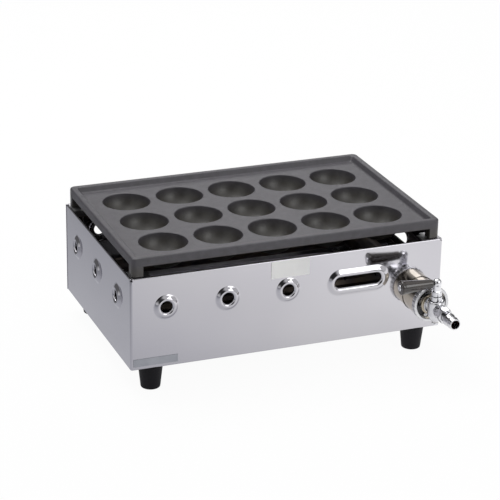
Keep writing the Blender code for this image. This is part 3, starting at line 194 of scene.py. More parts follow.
def turned_ring(profile, reach, steps=64):
    """Spin a profile that closes on itself, eased all round, such as a washer or a tube with two ends."""
    points = np.asarray(profile, dtype=float)
    middle = (points[:1] + points[-1:]) / 2
    return turned(eased(np.vstack([middle, points, middle]), reach), steps)


def square_ring(inner, outer, low, high, reach, steps):
    """A ring with a rectangular section between two radii and two heights."""
    return turned_ring([(inner, low), (outer, low), (outer, high), (inner, high)], reach, steps)


print("helpers for points, profiles and pieces are ready")

# %% [markdown]
# ## Shared surface effects
#
# Real finishes differ from a flat colour by the same few things: a fine grain left by casting, rolling or
# moulding, and slow patches where hands, heat or oil have been. Both are noise, read at the object's own
# coordinates so that they stay on the piece. They are built once as a node group with named inputs, and each
# material places the group with its own values.

# %% Node helpers
def add_node(tree, kind, **values):
    """Add a shader node; values named like its sockets go to the sockets, the rest to its settings."""
    node = tree.nodes.new(kind)
    for name, value in values.items():
        title = name.replace("_", " ").title()
        if title in node.inputs:
            node.inputs[title].default_value = value
        else:
            setattr(node, name, value)
    return node


def wire(tree, *pairs):
    """Link node outputs to inputs, pair by pair."""
    for source, target in pairs:
        tree.links.new(source, target)


def grain_group():
    """Height is fine noise at Scale, Patches slow noise at Patch Scale; Stretch squeezes the fine one."""
    tree = bpy.data.node_groups.new("grain and patches", "ShaderNodeTree")
    for name, kind, value in (("Scale", "NodeSocketFloat", 800), ("Patch Scale", "NodeSocketFloat", 30),
                              ("Stretch", "NodeSocketVector", (1, 1, 1))):
        tree.interface.new_socket(name, in_out="INPUT", socket_type=kind).default_value = value
    for name in ("Height", "Patches"):
        tree.interface.new_socket(name, in_out="OUTPUT", socket_type="NodeSocketFloat")
    inside, outside = add_node(tree, "NodeGroupInput"), add_node(tree, "NodeGroupOutput")
    place = add_node(tree, "ShaderNodeTexCoord")
    stretch = add_node(tree, "ShaderNodeVectorMath", operation="MULTIPLY")
    fine = add_node(tree, "ShaderNodeTexNoise", detail=3.0, roughness=0.55)
    slow = add_node(tree, "ShaderNodeTexNoise", detail=2.0, roughness=0.5)
    spread = add_node(tree, "ShaderNodeMapRange", from_min=0.32, from_max=0.68)
    wire(tree, (place.outputs["Object"], stretch.inputs[0]), (inside.outputs["Stretch"], stretch.inputs[1]),
         (stretch.outputs["Vector"], fine.inputs["Vector"]), (place.outputs["Object"], slow.inputs["Vector"]),
         (inside.outputs["Scale"], fine.inputs["Scale"]), (inside.outputs["Patch Scale"], slow.inputs["Scale"]),
         (fine.outputs[0], outside.inputs["Height"]), (slow.outputs[0], spread.inputs["Value"]),
         (spread.outputs["Result"], outside.inputs["Patches"]))
    return tree


GRAIN = grain_group()
print("group:", GRAIN.name, [item.name for item in GRAIN.interface.items_tree])

# %% [markdown]
# ## One recipe for most finishes
#
# Each finish is a Principled shader. The slow patches mix two near colours and shift the roughness a little,
# and the fine grain drives a Bump node. Metals keep a metallic value of one, so the light they show is what
# surrounds them, and their base colour only tints it.

# %% Finish recipe
def principled(name, metallic=0.0, **sockets):
    """A new material's tree and Principled shader, with the plain values set on the shader's own sockets."""
    material = bpy.data.materials.new(name)
    material.use_nodes = True
    shader = material.node_tree.nodes["Principled BSDF"]
    shader.inputs["Metallic"].default_value = metallic
    for socket, value in sockets.items():
        shader.inputs[socket.replace("_", " ").title().replace("Ior", "IOR")].default_value = value
    return material, material.node_tree, shader


def grain_node(tree, scale, patch_scale, stretch=(1, 1, 1)):
    """Place the shared group with its values."""
    node = tree.nodes.new("ShaderNodeGroup")
    node.node_tree = GRAIN
    node.inputs["Scale"].default_value = scale
    node.inputs["Patch Scale"].default_value = patch_scale
    node.inputs["Stretch"].default_value = stretch
    return node


def mixed(tree, mask, low, high):
    """Mix two colours by a mask."""
    mix = add_node(tree, "ShaderNodeMix", data_type="RGBA")
    tree.links.new(mask, mix.inputs["Factor"])
    mix.inputs[6].default_value, mix.inputs[7].default_value = (*low, 1), (*high, 1)
    return mix.outputs[2]


def ranged(tree, mask, low, high):
    """Map a mask from 0..1 onto low..high."""
    span = add_node(tree, "ShaderNodeMapRange", to_min=low, to_max=high)
    tree.links.new(mask, span.inputs["Value"])
    return span.outputs["Result"]


def bumped(tree, height, shader, depth):
    """Lift the surface by height times depth, in metres, through its normal."""
    bump = add_node(tree, "ShaderNodeBump", strength=1.0, distance=depth)
    tree.links.new(height, bump.inputs["Height"])
    tree.links.new(bump.outputs["Normal"], shader.inputs["Normal"])


def finish(name, low, high, rough, metallic=0.0, grain=800, patches=30, depth=0.0, stretch=(1, 1, 1),
           **sockets):
    """A finish: its colour runs from low to high and its roughness over a range, both in slow patches."""
    material, tree, shader = principled(name, metallic, **sockets)
    effect = grain_node(tree, grain, patches, stretch)
    tree.links.new(mixed(tree, effect.outputs["Patches"], low, high), shader.inputs["Base Color"])
    tree.links.new(ranged(tree, effect.outputs["Patches"], *rough), shader.inputs["Roughness"])
    if depth:
        bumped(tree, effect.outputs["Height"], shader, depth)
    return material


# %% [markdown]
# ## The sheet metals and the screws
#
# The casing is stainless sheet with a mirror polish: very low roughness, and only a trace of long polishing
# marks, so that the cock and the floor show in it. The inner brackets and the base are the same sheet left
# dull. Screws and nuts are zinc plated, the cock and nipple are bright plated, and the damper ring is satin.

# %% Sheet, plated and turned metals
polished = finish("polished stainless", (0.505, 0.495, 0.53), (0.54, 0.53, 0.56), (0.045, 0.09), metallic=1.0,
                  grain=260, patches=9, depth=2e-6, stretch=(0.12, 0.12, 3.0))
dull = finish("dull sheet", (0.36, 0.36, 0.37), (0.46, 0.46, 0.47), (0.30, 0.42), metallic=1.0,
              grain=500, patches=25, depth=8e-6, stretch=(0.2, 2.0, 2.0))
chrome = finish("bright plating", (0.60, 0.60, 0.63), (0.70, 0.70, 0.72), (0.07, 0.14), metallic=1.0,
                grain=1500, patches=120, depth=4e-6)
satin = finish("satin ring", (0.52, 0.52, 0.54), (0.66, 0.66, 0.67), (0.22, 0.34), metallic=1.0,
               grain=2500, patches=150, depth=1e-5)
zinc = finish("zinc plating", (0.50, 0.50, 0.52), (0.62, 0.61, 0.60), (0.26, 0.40), metallic=1.0,
              grain=1800, patches=200, depth=1e-5)
brass = finish("turned brass", (0.56, 0.49, 0.38), (0.68, 0.61, 0.49), (0.22, 0.36), metallic=1.0,
               grain=1500, patches=150, depth=8e-6)
passivated = finish("passivated tube", (0.50, 0.46, 0.38), (0.64, 0.58, 0.49), (0.09, 0.16), metallic=1.0,
                    grain=900, patches=70, depth=8e-6)
print("sheet and plated finishes:", [m.name for m in (polished, dull, chrome, satin, zinc, brass, passivated)])

# %% [markdown]
# ## Rubber, moulded grip, gasket and blank foils
#
# The feet are black rubber with a fine moulded skin. The grip is hard black-brown moulding with a gloss
# coat. The plate at the bottom left and the label at the top of the front are left blank: satin metal and
# matt paper with their own faint texture.

# %% Plastics, rubber and paper
rubber = finish("black rubber", (0.005, 0.0045, 0.006), (0.010, 0.009, 0.012), (0.50, 0.64), grain=2200,
                patches=90, depth=1.5e-5, specular_ior_level=0.18)
bakelite = finish("moulded grip", (0.012, 0.008, 0.007), (0.026, 0.017, 0.013), (0.12, 0.20), grain=1500,
                  patches=90, depth=3e-6, coat_weight=0.6, coat_roughness=0.06)
fibre = finish("fibre gasket", (0.25, 0.07, 0.05), (0.34, 0.12, 0.08), (0.6, 0.8), grain=3000, depth=1e-5)
plate_metal = finish("blank plate", (0.33, 0.34, 0.37), (0.42, 0.43, 0.46), (0.30, 0.42), metallic=1.0,
                     grain=900, patches=60, depth=4e-6, stretch=(0.1, 1, 4))
paper = finish("blank label", (0.80, 0.80, 0.80), (0.86, 0.86, 0.85), (0.5, 0.7), grain=2500, patches=60,
               depth=4e-6)
print("other finishes:", [m.name for m in (rubber, bakelite, fibre, plate_metal, paper)])

# %% [markdown]
# ## Cast iron and heated steel
#
# The pan is sand-cast and seasoned: a grey-black skin with a grain of about a millimetre over slow swells.
# Its cups are smoother and browner, because oil has burnt onto them. How far a point lies below the plate
# decides that, read from the object's own height. The burner pipes are darkened by heat in patches.

# %% Cast iron and burner steel
PLATE_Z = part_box("takoyaki_pan")[1][2] - 0.0048


def cast_iron_finish():
    """Cast iron: grain bump over slow swells; below the plate the colour turns browner and the skin smoother."""
    material, tree, shader = principled("seasoned cast iron", metallic=0.0, specular_ior_level=0.6)
    effect = grain_node(tree, 1300, 160)
    place = add_node(tree, "ShaderNodeTexCoord")
    height = add_node(tree, "ShaderNodeSeparateXYZ")
    depth = add_node(tree, "ShaderNodeMapRange", from_min=PLATE_Z - 0.0005, from_max=PLATE_Z - 0.0075)
    skin = mixed(tree, effect.outputs["Patches"], (0.044, 0.041, 0.048), (0.058, 0.054, 0.064))
    oiled = mixed(tree, effect.outputs["Patches"], (0.034, 0.031, 0.028), (0.048, 0.044, 0.038))
    both = add_node(tree, "ShaderNodeMix", data_type="RGBA")
    wire(tree, (place.outputs["Object"], height.inputs[0]), (height.outputs["Z"], depth.inputs["Value"]),
         (depth.outputs["Result"], both.inputs["Factor"]), (skin, both.inputs[6]), (oiled, both.inputs[7]),
         (both.outputs[2], shader.inputs["Base Color"]),
         (ranged(tree, depth.outputs["Result"], 0.50, 0.36), shader.inputs["Roughness"]))
    bumped(tree, effect.outputs["Height"], shader, 1.6e-4)
    return material


cast_iron = cast_iron_finish()
burner_steel = finish("heated steel", (0.10, 0.09, 0.10), (0.20, 0.16, 0.13), (0.38, 0.55), metallic=1.0,
                      grain=900, patches=60, depth=2e-5)
print("plate surface at %.4f m" % PLATE_Z)

# %% [markdown]
# ## The floor, the backdrop and the light
#
# The photograph was taken on a seamless white sweep, so the floor has no edge behind the object. The floor is
# a plain pale plane. The camera sees it nearly white through Light Path, and the shadow of the object still
# shows on it. Polished metal sees a level of its own: brighter to the right and the front, as the grey steps
# of the casing's front and left side show. The lamps stay at a plain level: a large soft one above, a weaker
# one from the front right and a faint one from behind.

# %% Floor
LEVEL_MIDDLE, LEVEL_BY_X, LEVEL_BY_Y, LEVEL_LEAST, LEVEL_MOST = 0.87, 1.5, -0.55, 0.30, 1.25
MIRROR_SHARE, SEEN_SHARE = 0.80, 0.95


def by_ray(tree, light, rows):
    """Let some kinds of rays see another light: each row is (kind of ray, share, shader)."""
    path = add_node(tree, "ShaderNodeLightPath")
    for kind, share, other in rows:
        part = add_node(tree, "ShaderNodeMath", operation="MULTIPLY")
        part.inputs[1].default_value = share
        mix = add_node(tree, "ShaderNodeMixShader")
        wire(tree, (path.outputs[kind], part.inputs[0]), (part.outputs[0], mix.inputs["Fac"]),
             (light.outputs[0], mix.inputs[1]), (other.outputs[0], mix.inputs[2]))
        light = mix
    return light


def white_floor():
    """A pale floor, nearly white to the camera; to polished metal, level = clamp(middle + a x + b y)."""
    material = bpy.data.materials.new("white sweep")
    material.use_nodes = True
    tree = material.node_tree
    tree.nodes.clear()
    matt = add_node(tree, "ShaderNodeBsdfDiffuse", color=(0.86, 0.86, 0.86, 1))
    seen = add_node(tree, "ShaderNodeEmission", color=(1, 1, 1, 1), strength=1.0)
    mirrored = add_node(tree, "ShaderNodeEmission")
    place = add_node(tree, "ShaderNodeSeparateXYZ")
    backwards = add_node(tree, "ShaderNodeMath", operation="MULTIPLY_ADD")
    sideways = add_node(tree, "ShaderNodeMath", operation="MULTIPLY_ADD")
    level = add_node(tree, "ShaderNodeClamp", min=LEVEL_LEAST, max=LEVEL_MOST)
    for node, value, slope in ((backwards, place.outputs["Y"], LEVEL_BY_Y),
                               (sideways, place.outputs["X"], LEVEL_BY_X)):
        tree.links.new(value, node.inputs[0])
        node.inputs[1].default_value = slope
    backwards.inputs[2].default_value = LEVEL_MIDDLE
    tint = mixed(tree, level.outputs[0], (0.80, 0.84, 1.0), (1.0, 1.0, 1.0))
    seen_by = by_ray(tree, matt, (("Is Glossy Ray", MIRROR_SHARE, mirrored), ("Is Camera Ray", SEEN_SHARE, seen),
                                  ("Is Transmission Ray", SEEN_SHARE, seen)))
    wire(tree, (add_node(tree, "ShaderNodeTexCoord").outputs["Object"], place.inputs[0]),
         (backwards.outputs[0], sideways.inputs[2]), (sideways.outputs[0], level.inputs["Value"]),
         (level.outputs[0], mirrored.inputs["Strength"]), (tint, mirrored.inputs["Color"]),
         (seen_by.outputs[0], add_node(tree, "ShaderNodeOutputMaterial").inputs["Surface"]))
    return material


half_floor = 6.0
floor_mesh = bpy.data.meshes.new("floor")
floor_mesh.from_pydata([(x * half_floor, y * half_floor, 0.0) for x, y in ((-1, -1), (1, -1), (1, 1), (-1, 1))],
                       [], [(0, 1, 2, 3)])
floor = new_object("floor", floor_mesh)
floor.data.materials.append(white_floor())
print("floor:", 2 * half_floor, "m across")

# %% [markdown]
# The room is white to the camera. In the metal it must not be: a studio is dark round the lens and paler above
# and in front of the object. So glossy rays see a room whose level is the larger of two smooth steps, one by
# height and one by y, times a dark opening round the direction of the lens. Rounded edges then catch the white
# part, and faces that look back at the camera stay dark.

# %% World and lamps
OPENING_EDGE, OPENING_CORE = math.cos(math.radians(30)), math.cos(math.radians(13))
world = bpy.data.worlds.new("white room")
world.use_nodes = True
sky = world.node_tree
sky.nodes.clear()
room = add_node(sky, "ShaderNodeBackground", color=(1, 1, 1, 1), strength=0.45)
seen_room = add_node(sky, "ShaderNodeBackground", color=(1, 1, 1, 1), strength=1.0)
mirror_room = add_node(sky, "ShaderNodeBackground", color=(1, 1, 1, 1))
look = add_node(sky, "ShaderNodeTexCoord").outputs["Generated"]
towards_lens = add_node(sky, "ShaderNodeVectorMath", operation="DOT_PRODUCT")
sky.links.new(look, towards_lens.inputs[0])
towards_lens.inputs[1].default_value = -aim.normalized()
look_axes = add_node(sky, "ShaderNodeSeparateXYZ")
sky.links.new(look, look_axes.inputs[0])
level = None
for value, start, end, low, high in ((look_axes.outputs["Z"], 0.55, 0.85, 0.16, 0.92),
                                     (look_axes.outputs["Y"], 0.40, 0.0, 0.0, 0.72),
                                     (towards_lens.outputs["Value"], OPENING_EDGE, OPENING_CORE, 1.0, 0.04)):
    span = add_node(sky, "ShaderNodeMapRange", interpolation_type="SMOOTHSTEP",
                    from_min=start, from_max=end, to_min=low, to_max=high)
    sky.links.new(value, span.inputs["Value"])
    if level is None:
        level = span.outputs["Result"]
        continue
    join = add_node(sky, "ShaderNodeMath", operation="MULTIPLY" if low else "MAXIMUM")
    sky.links.new(level, join.inputs[0])
    sky.links.new(span.outputs["Result"], join.inputs[1])
    level = join.outputs[0]
light = by_ray(sky, room, (("Is Glossy Ray", 1.0, mirror_room), ("Is Camera Ray", 1.0, seen_room)))
wire(sky, (level, mirror_room.inputs["Strength"]),
     (light.outputs[0], add_node(sky, "ShaderNodeOutputWorld").inputs["Surface"]))
bpy.context.scene.world = world


def soft_lamp(name, place, target, size, power):
    """A square area lamp that faces a target."""
    data = bpy.data.lights.new(name, "AREA")
    data.shape, data.size, data.energy = "SQUARE", size, power
    lamp = new_object(name, data)
    lamp.location = place
    lamp.rotation_mode = "QUATERNION"
    lamp.rotation_quaternion = (Vector(target) - Vector(place)).to_track_quat("-Z", "Y")


soft_lamp("overhead softbox", (-0.25, 0.55, 1.5), (0, 0.03, 0.05), 1.1, 17)
soft_lamp("front fill", (0.9, -1.3, 0.9), (0, 0.03, 0.05), 0.9, 6)
soft_lamp("rear glow", (0.55, 1.25, 0.85), (0.05, 0.03, 0.1), 0.6, 2.5)
bpy.context.scene.view_settings.view_transform = "Standard"

# %% [markdown]
# ## The casing: a flat sheet, pressed and then folded
#
# A sheet-metal worker cuts one long blank, presses the air holes and the slot into it while it is flat, and
# then folds it round three sides. The same order works for the mesh. Points are first placed on the unrolled
# sheet: s runs along it, z up it, and h is how far a point stands out from it. One function then folds the
# sheet round the corners, and everything pressed into it goes along.

# %% Fold the sheet
CASE_W, CASE_D, CASE_H, SHEET, WRAP_WALL = 0.287, 0.186, 0.0832, 0.0009, 0.00085
MIDDLE_Y, FOOT_TOP = 0.03415, 0.0215
BEND_R, FOLD_W = 0.0022, 0.016
REAR_Y = CASE_D / 2 - SHEET - 0.0003
arc = BEND_R * math.pi / 2
run_lengths = np.array([FOLD_W - BEND_R, arc, REAR_Y + CASE_D / 2 - 2 * BEND_R, arc, CASE_W - 2 * BEND_R,
                        arc, REAR_Y + CASE_D / 2 - 2 * BEND_R, arc, FOLD_W - BEND_R])
headings = np.radians([-180, -180, -90, -90, 0, 0, 90, 90, 180])
bends = np.array([0, 1, 0, 1, 0, 1, 0, 1, 0]) / BEND_R
run_starts = np.concatenate([[0], np.cumsum(run_lengths)])


def walked(start, bend, length):
    """Where a walk along a straight run or a bend ends: its steps in x and y, and its heading there."""
    end = start + bend * length
    x = np.where(bend > 0, BEND_R * (np.sin(end) - np.sin(start)), length * np.cos(start))
    y = np.where(bend > 0, BEND_R * (np.cos(start) - np.cos(end)), length * np.sin(start))
    return x, y, end


run_x, run_y, _ = walked(headings, bends, run_lengths)
corner_x = np.concatenate([[0], np.cumsum(run_x)[:-1]]) - CASE_W / 2 + FOLD_W
corner_y = np.concatenate([[0], np.cumsum(run_y)[:-1]]) + REAR_Y


def fold_up(flat):
    """Carry sheet points (s, z, h) into space: walk s along straight runs and bends, then step h outwards."""
    s, z, h = np.moveaxis(np.asarray(flat, dtype=float), -1, 0)
    run = np.clip(np.searchsorted(run_starts, s, side="right") - 1, 0, len(run_lengths) - 1)
    x, y, heading = walked(headings[run], bends[run], s - run_starts[run])
    return np.stack([corner_x[run] + x + h * np.sin(heading),
                     corner_y[run] + y - h * np.cos(heading) + MIDDLE_Y, z + FOOT_TOP], axis=-1)


ends = fold_up([[0, 0, 0], [run_starts[-1], 0, 0], [run_starts[4] + run_lengths[4] / 2, 0, 0]])
print("fold ends and front middle:", np.round(ends, 4).tolist())

# %% [markdown]
# Each pressed feature sits in its own rectangular tile of the sheet. A tile's outermost ring of points runs
# round the rectangle, and the rings inside it follow the feature. The nearest point of the feature's middle
# line gives every outer point its own direction, so the same rule serves a round hole and a long slot, and
# neighbouring tiles share their edge points exactly.

# %% Tiles with pressed features
ROLL = 0.0012
NOTCH_Z = CASE_H - 0.0022
levels = np.append(np.linspace(ROLL, NOTCH_Z, 22), CASE_H - SHEET)


def round_edge(x, y):
    """Points round the edge of a grid with these places, anticlockwise from its lower left corner."""
    sides = (x[:-1], y[:1]), (x[-1:], y[:-1]), (x[:0:-1], y[-1:]), (x[:1], y[:0:-1])
    return np.concatenate([np.column_stack(np.broadcast_arrays(*side)) for side in sides])


def lifted(rings, heights):
    """Give each ring of (x, y) points its height."""
    return np.concatenate([rings, np.broadcast_to(heights[:, None, None], rings.shape[:2] + (1,))], axis=-1)


def pressed_tile(along, middle, half_run, profile):
    """A tile's rings: nearest point of the middle line + radius x direction, lifted by the profile's h."""
    outline = round_edge(along, levels)
    core = np.stack([np.clip(outline[:, 0], middle[0] - half_run, middle[0] + half_run),
                     np.full(len(outline), middle[1])], axis=-1)
    away = outline - core
    away /= np.linalg.norm(away, axis=1, keepdims=True)
    radius, lift = np.asarray(profile).T
    rings = np.concatenate([outline[None], core[None] + radius[:, None, None] * away[None]])
    return lifted(rings, np.append(0, lift))


# %% Rim profiles
def smooth_line(points, count):
    """A Catmull-Rom curve through points: each stretch is a cubic whose slopes come from its neighbours."""
    p = np.asarray(points, dtype=float)
    ends = np.vstack([2 * p[0] - p[1], p, 2 * p[-1] - p[-2]])
    place = np.linspace(0, len(p) - 1, count)
    i = np.minimum(place.astype(int), len(p) - 2)
    t = (place - i)[:, None]
    a, b, c, d = ends[i], ends[i + 1], ends[i + 2], ends[i + 3]
    return 0.5 * (2 * b + (c - a) * t + (2 * a - 5 * b + 4 * c - d) * t ** 2 + (3 * b - a - 3 * c + d) * t ** 3)


MM = 0.001
vent_rim = smooth_line(np.array([(12.0, 0), (11.3, 0.03), (10.6, 0.32), (9.7, 0.98), (8.8, 1.68), (7.8, 2.3),
                                 (6.9, 2.42), (6.1, 2.12), (5.4, 1.5), (5.05, 0.9), (5.0, 0.3)]) * MM, 26)
slot_rim = vent_rim + np.array([1.2 * MM, 0]) - np.array([1.45 * MM, 0]) * np.linspace(0, 1, 26)[:, None]
tube_hole = np.array([(0.0161, 0), (0.0159, -0.0002), (0.0158, -0.0006)])
print("rim rises %.2f mm" % (vent_rim[:, 1].max() / MM))

# %% [markdown]
# The front and the two sides carry the features at these places. The top hem and the rolled bottom edge run
# along the straight stretches and use the same points along the sheet as the tiles, so the whole sheet joins
# up into one skin. A Solidify modifier then gives it the sheet's thickness, inwards.

# %% The casing wrap
VENT_Z, SLOT_RUN = 0.055, 0.01695
HEM_LOW = CASE_H - 0.007
TILE_COLUMNS, BEND_COLUMNS = 27, 10
half_turn = np.linspace(0, math.pi, 9)[1:]
hem_line = np.vstack([np.column_stack([CASE_H - SHEET + SHEET * np.sin(half_turn),
                                       SHEET * (np.cos(half_turn) - 1)]), [(HEM_LOW, -2 * SHEET)]])
quarter = np.linspace(0, math.pi / 2, 7)[1:]
roll_line = np.column_stack([ROLL * (1 - np.sin(quarter)), ROLL * (np.cos(quarter) - 1)])
VENT, SLOT, TUBE = (vent_rim, 0.0, VENT_Z), (slot_rim, SLOT_RUN, VENT_Z), (tube_hole, 0.0, 0.034)


def wall_tiles(run, joins, features):
    """Tiles along one wall: joins lie between neighbouring features; all places count from the wall's start."""
    start = run_starts[run]
    edges = [start] + [start + join for join in joins] + [run_starts[run + 1]]
    return [(s0, s1, feature, start + middle) for s0, s1, (feature, middle) in zip(edges, edges[1:], features)]


wrap_tiles = [(0, run_starts[1], None, 0)]
wrap_tiles += wall_tiles(2, (0.06085, 0.11835), [(VENT, 0.0321), (VENT, 0.0896), (VENT, 0.1471)])
wrap_tiles += wall_tiles(4, (0.0568, 0.1118, 0.1640, 0.2423),
                         [(VENT, 0.0293), (VENT, 0.0843), (VENT, 0.1393), (SLOT, 0.2047), (TUBE, 0.2641)])
wrap_tiles += wall_tiles(6, (0.0530, 0.1286), [(VENT, 0.0333), (SLOT, 0.0908), (VENT, 0.1483)])
wrap_tiles += [(run_starts[8], run_starts[9], None, 0)]


def strip(along, line):
    """A strip of sheet points: every place s along the sheet, at each (z, h) of a line."""
    z, h = np.asarray(line, dtype=float).T
    return np.stack(np.broadcast_arrays(along[None, :], z[:, None], h[:, None]), axis=-1)


def sheet_parts(tiles, bends_between):
    """Every stretch of a sheet: tiles with their features, plain tiles, bends, top hems and the bottom roll."""
    parts, walls = [], []
    flat_line = np.column_stack([levels, np.zeros(len(levels))])
    for s0, s1, feature, middle in tiles:
        along = np.linspace(s0, s1, TILE_COLUMNS)
        if feature:
            rim, half_run, height = feature
            parts.append((pressed_tile(along, (middle, height), half_run, rim), True))
        else:
            parts.append((strip(along, flat_line), False))
        hem = np.vstack([[(CASE_H - SHEET, 0)], hem_line])
        parts.append((strip(along, hem), False))
        walls.append(along)
    for s0, s1 in bends_between:
        along = np.linspace(s0, s1, BEND_COLUMNS)
        parts.append((strip(along, flat_line[:-1]), False))
        walls.append(along)
    for along in walls:
        parts.append((strip(along, np.vstack([roll_line[::-1], [(ROLL, 0)]])), False))
    return parts, np.unique(np.round(np.concatenate(walls), 9))


bend_spans = [(run_starts[i], run_starts[i + 1]) for i in (1, 3, 5, 7)]
parts, all_along = sheet_parts(wrap_tiles, bend_spans)
skins = [surface(fold_up(grid), around) for grid, around in parts]
outer_edge = fold_up(strip(all_along, [(0, -ROLL)]))[0]
outer_edge = np.vstack([outer_edge, outer_edge[:1]])
FLANGE_IN = 0.024
inner_edge = np.column_stack([np.clip(outer_edge[:, 0], FLANGE_IN - CASE_W / 2, CASE_W / 2 - FLANGE_IN),
                              np.clip(outer_edge[:, 1] - MIDDLE_Y, FLANGE_IN - CASE_D / 2,
                                      REAR_Y - FLANGE_IN) + MIDDLE_Y,
                              outer_edge[:, 2]])
shares = np.linspace(0, 1, 4)[:, None, None]
skins.append(surface(inner_edge[None] * (1 - shares) + outer_edge[None] * shares))
make_piece("casing_wrap", skins, polished, "casing", closed=False, wall=WRAP_WALL)

# %% [markdown]
# The rear panel is a flat sheet with five air holes. It is built from the same tiles, laid in a plane that
# faces backwards instead of being folded.

# %% The rear panel
def lay_back(flat):
    """Carry sheet points onto the rear plane: seen from behind, s runs to the right and h stands out."""
    s, z, h = np.moveaxis(np.asarray(flat, dtype=float), -1, 0)
    return np.stack([CASE_W / 2 - s, CASE_D / 2 + h + MIDDLE_Y, z + FOOT_TOP], axis=-1)


REAR_VENT_FIRST, REAR_VENT_PITCH, REAR_VENTS = -0.112, 0.055, 5
vent_places = [CASE_W / 2 - (REAR_VENT_FIRST + REAR_VENT_PITCH * i) for i in range(REAR_VENTS - 1, -1, -1)]
edges = [0.0] + [(a + b) / 2 for a, b in zip(vent_places, vent_places[1:])] + [CASE_W]
rear_tiles = [(s0, s1, VENT, middle) for s0, s1, middle in zip(edges, edges[1:], vent_places)]
low_line = [(0.0, 0.0), (ROLL, 0.0)]
rear_skins = []
for s0, s1, (rim, half_run, height), middle in rear_tiles:
    along = np.linspace(s0, s1, TILE_COLUMNS)
    rear_skins.append(surface(lay_back(pressed_tile(along, (middle, height), half_run, rim)), True))
    rear_skins.append(surface(lay_back(strip(along, low_line))))
    rear_skins.append(surface(lay_back(strip(along, [(CASE_H - SHEET, 0), (CASE_H, 0)]))))
make_piece("rear_panel", rear_skins, polished, "casing", closed=False, wall=SHEET)

# %% [markdown]
# ## The pan: square fields, round cups
#
# The plate is a chessboard of square fields with a round cup in each. The rings of a field change from the
# square's outline to the cup's circle. Each outline point keeps its direction from the middle, so there are
# no poles except at the cup's floor. The underside is made the same way, with the outer skin of the cups.

# %% Fields with cups
TRAY, PLATE_T, LEG_DROP = 0.0048, 0.0034, 0.009
PLATE_UNDER = PLATE_Z - PLATE_T
PITCH, COLUMNS, ROWS, FIELD_STEPS = 0.050, 5, 3, 16
CUP_R, CUP_DEPTH, CUP_WALL = 0.02104, 0.0195, 0.0032


def bowl_curve(radius, depth, start, mouth, steps):
    """A cup's (radius, height below the plate): a rounded mouth, then a quarter ellipse down to the pole."""
    first = math.asin(start / depth)
    angle = np.linspace(first, math.pi / 2, steps)
    curve = np.column_stack([radius * np.cos(angle), -depth * np.sin(angle)])
    edge = np.array([(radius * math.cos(first) + mouth, curve[0, 1] + mouth * 0.9)] +
                    [(radius * math.cos(first * 0.2) + 0.00001, curve[0, 1] + mouth * 0.9)] + [tuple(curve[0])])
    t = np.linspace(0, 1, 6)[:-1, None]
    return np.vstack([(1 - t) ** 2 * edge[0] + 2 * t * (1 - t) * edge[1] + t ** 2 * edge[2], curve])


def cup_fields(curve, height):
    """Every field of the plate with a cup pressed into it; the curve's heights count from the given height."""
    side = np.linspace(-PITCH / 2, PITCH / 2, FIELD_STEPS + 1)
    outline = round_edge(side, side)
    away = outline / np.linalg.norm(outline, axis=1, keepdims=True)
    radius, drop = curve.T
    rings = np.concatenate([outline[None], radius[:, None, None] * away[None]])
    grid = lifted(rings, height + np.append(curve[0, 1], drop))
    fields = []
    for row in range(ROWS):
        for column in range(COLUMNS):
            middle = ((column - (COLUMNS - 1) / 2) * PITCH, (row - (ROWS - 1) / 2) * PITCH + MIDDLE_Y, 0)
            fields.append(surface(grid + middle, around=True))
    return fields


MOUTH = 0.0011
inside = bowl_curve(CUP_R, CUP_DEPTH, MOUTH * 0.9, MOUTH, 16)
outside = bowl_curve(CUP_R + CUP_WALL, CUP_DEPTH + CUP_WALL, PLATE_T + 0.0004, 0.0004, 12)
top_fields = cup_fields(inside, PLATE_Z)
outside = outside + (0, PLATE_UNDER - PLATE_Z - outside[0, 1])
low_fields = [flipped(field) for field in cup_fields(outside, PLATE_Z)]
print("cups:", len(top_fields), "floor at %.4f m" % top_fields[0][0][:, 2].min())

# %% [markdown]
# Round the fields runs one border. Its columns start at the fields' outer edge and cross the tray, the rim,
# the outer wall and the underside. Every column knows its place along the side and its outward direction, so
# one rule gives each ring: the place is clipped to the straight part and then moved out by the corner radius.
# At the corners the wall reaches further down, and those columns make the legs.

# %% The border, the rim and the legs
PAN_HALF = np.array([0.1409, 0.091])
FIELDS_HALF = np.array([PITCH * COLUMNS / 2, PITCH * ROWS / 2])
LEG_SIDE, RIM_W, RIM_DRAFT, PAN_CORNER = 0.0095, 0.0055, 0.0028, 0.0045
PAN_TOP = PLATE_Z + TRAY
FAR = 1.0


def border_columns():
    """For each column: its place along the border, outward direction, place on the fields' edge and leg mark."""
    columns = []
    for quarter in range(4):
        angle = math.radians(-90 + 90 * quarter)
        out = np.array([round(math.cos(angle)), round(math.sin(angle))])
        along = np.array([-out[1], out[0]])
        axis = int(abs(along[1]))
        half, edge = FIELDS_HALF[axis], PAN_HALF[axis] - LEG_SIDE
        cells = round(2 * half / PITCH) * FIELD_STEPS
        columns += [(along * step + out * FAR, out, along * step + out * FIELDS_HALF[1 - axis], False)
                    for step in np.linspace(-half, half, cells + 1)]
        corner = along * half + out * FIELDS_HALF[1 - axis]
        columns += [(along * edge + out * FAR, out, corner, leg) for leg in (False, True)]
        columns += [(along * FAR + out * FAR, out * math.cos(turn) + along * math.sin(turn), corner, True)
                    for turn in np.linspace(0, math.pi / 2, 9)]
        edge = PAN_HALF[1 - axis] - LEG_SIDE
        columns += [(along * FAR + out * edge, along, corner, leg) for leg in (True, False)]
    return [np.array(values) for values in zip(*columns)]


places, directions, fields_edge, on_leg = border_columns()


def ring_at(points, height):
    """A ring at given places, moved to the casing's middle."""
    return np.column_stack([points[:, 0], points[:, 1] + MIDDLE_Y, np.broadcast_to(height, len(points))])


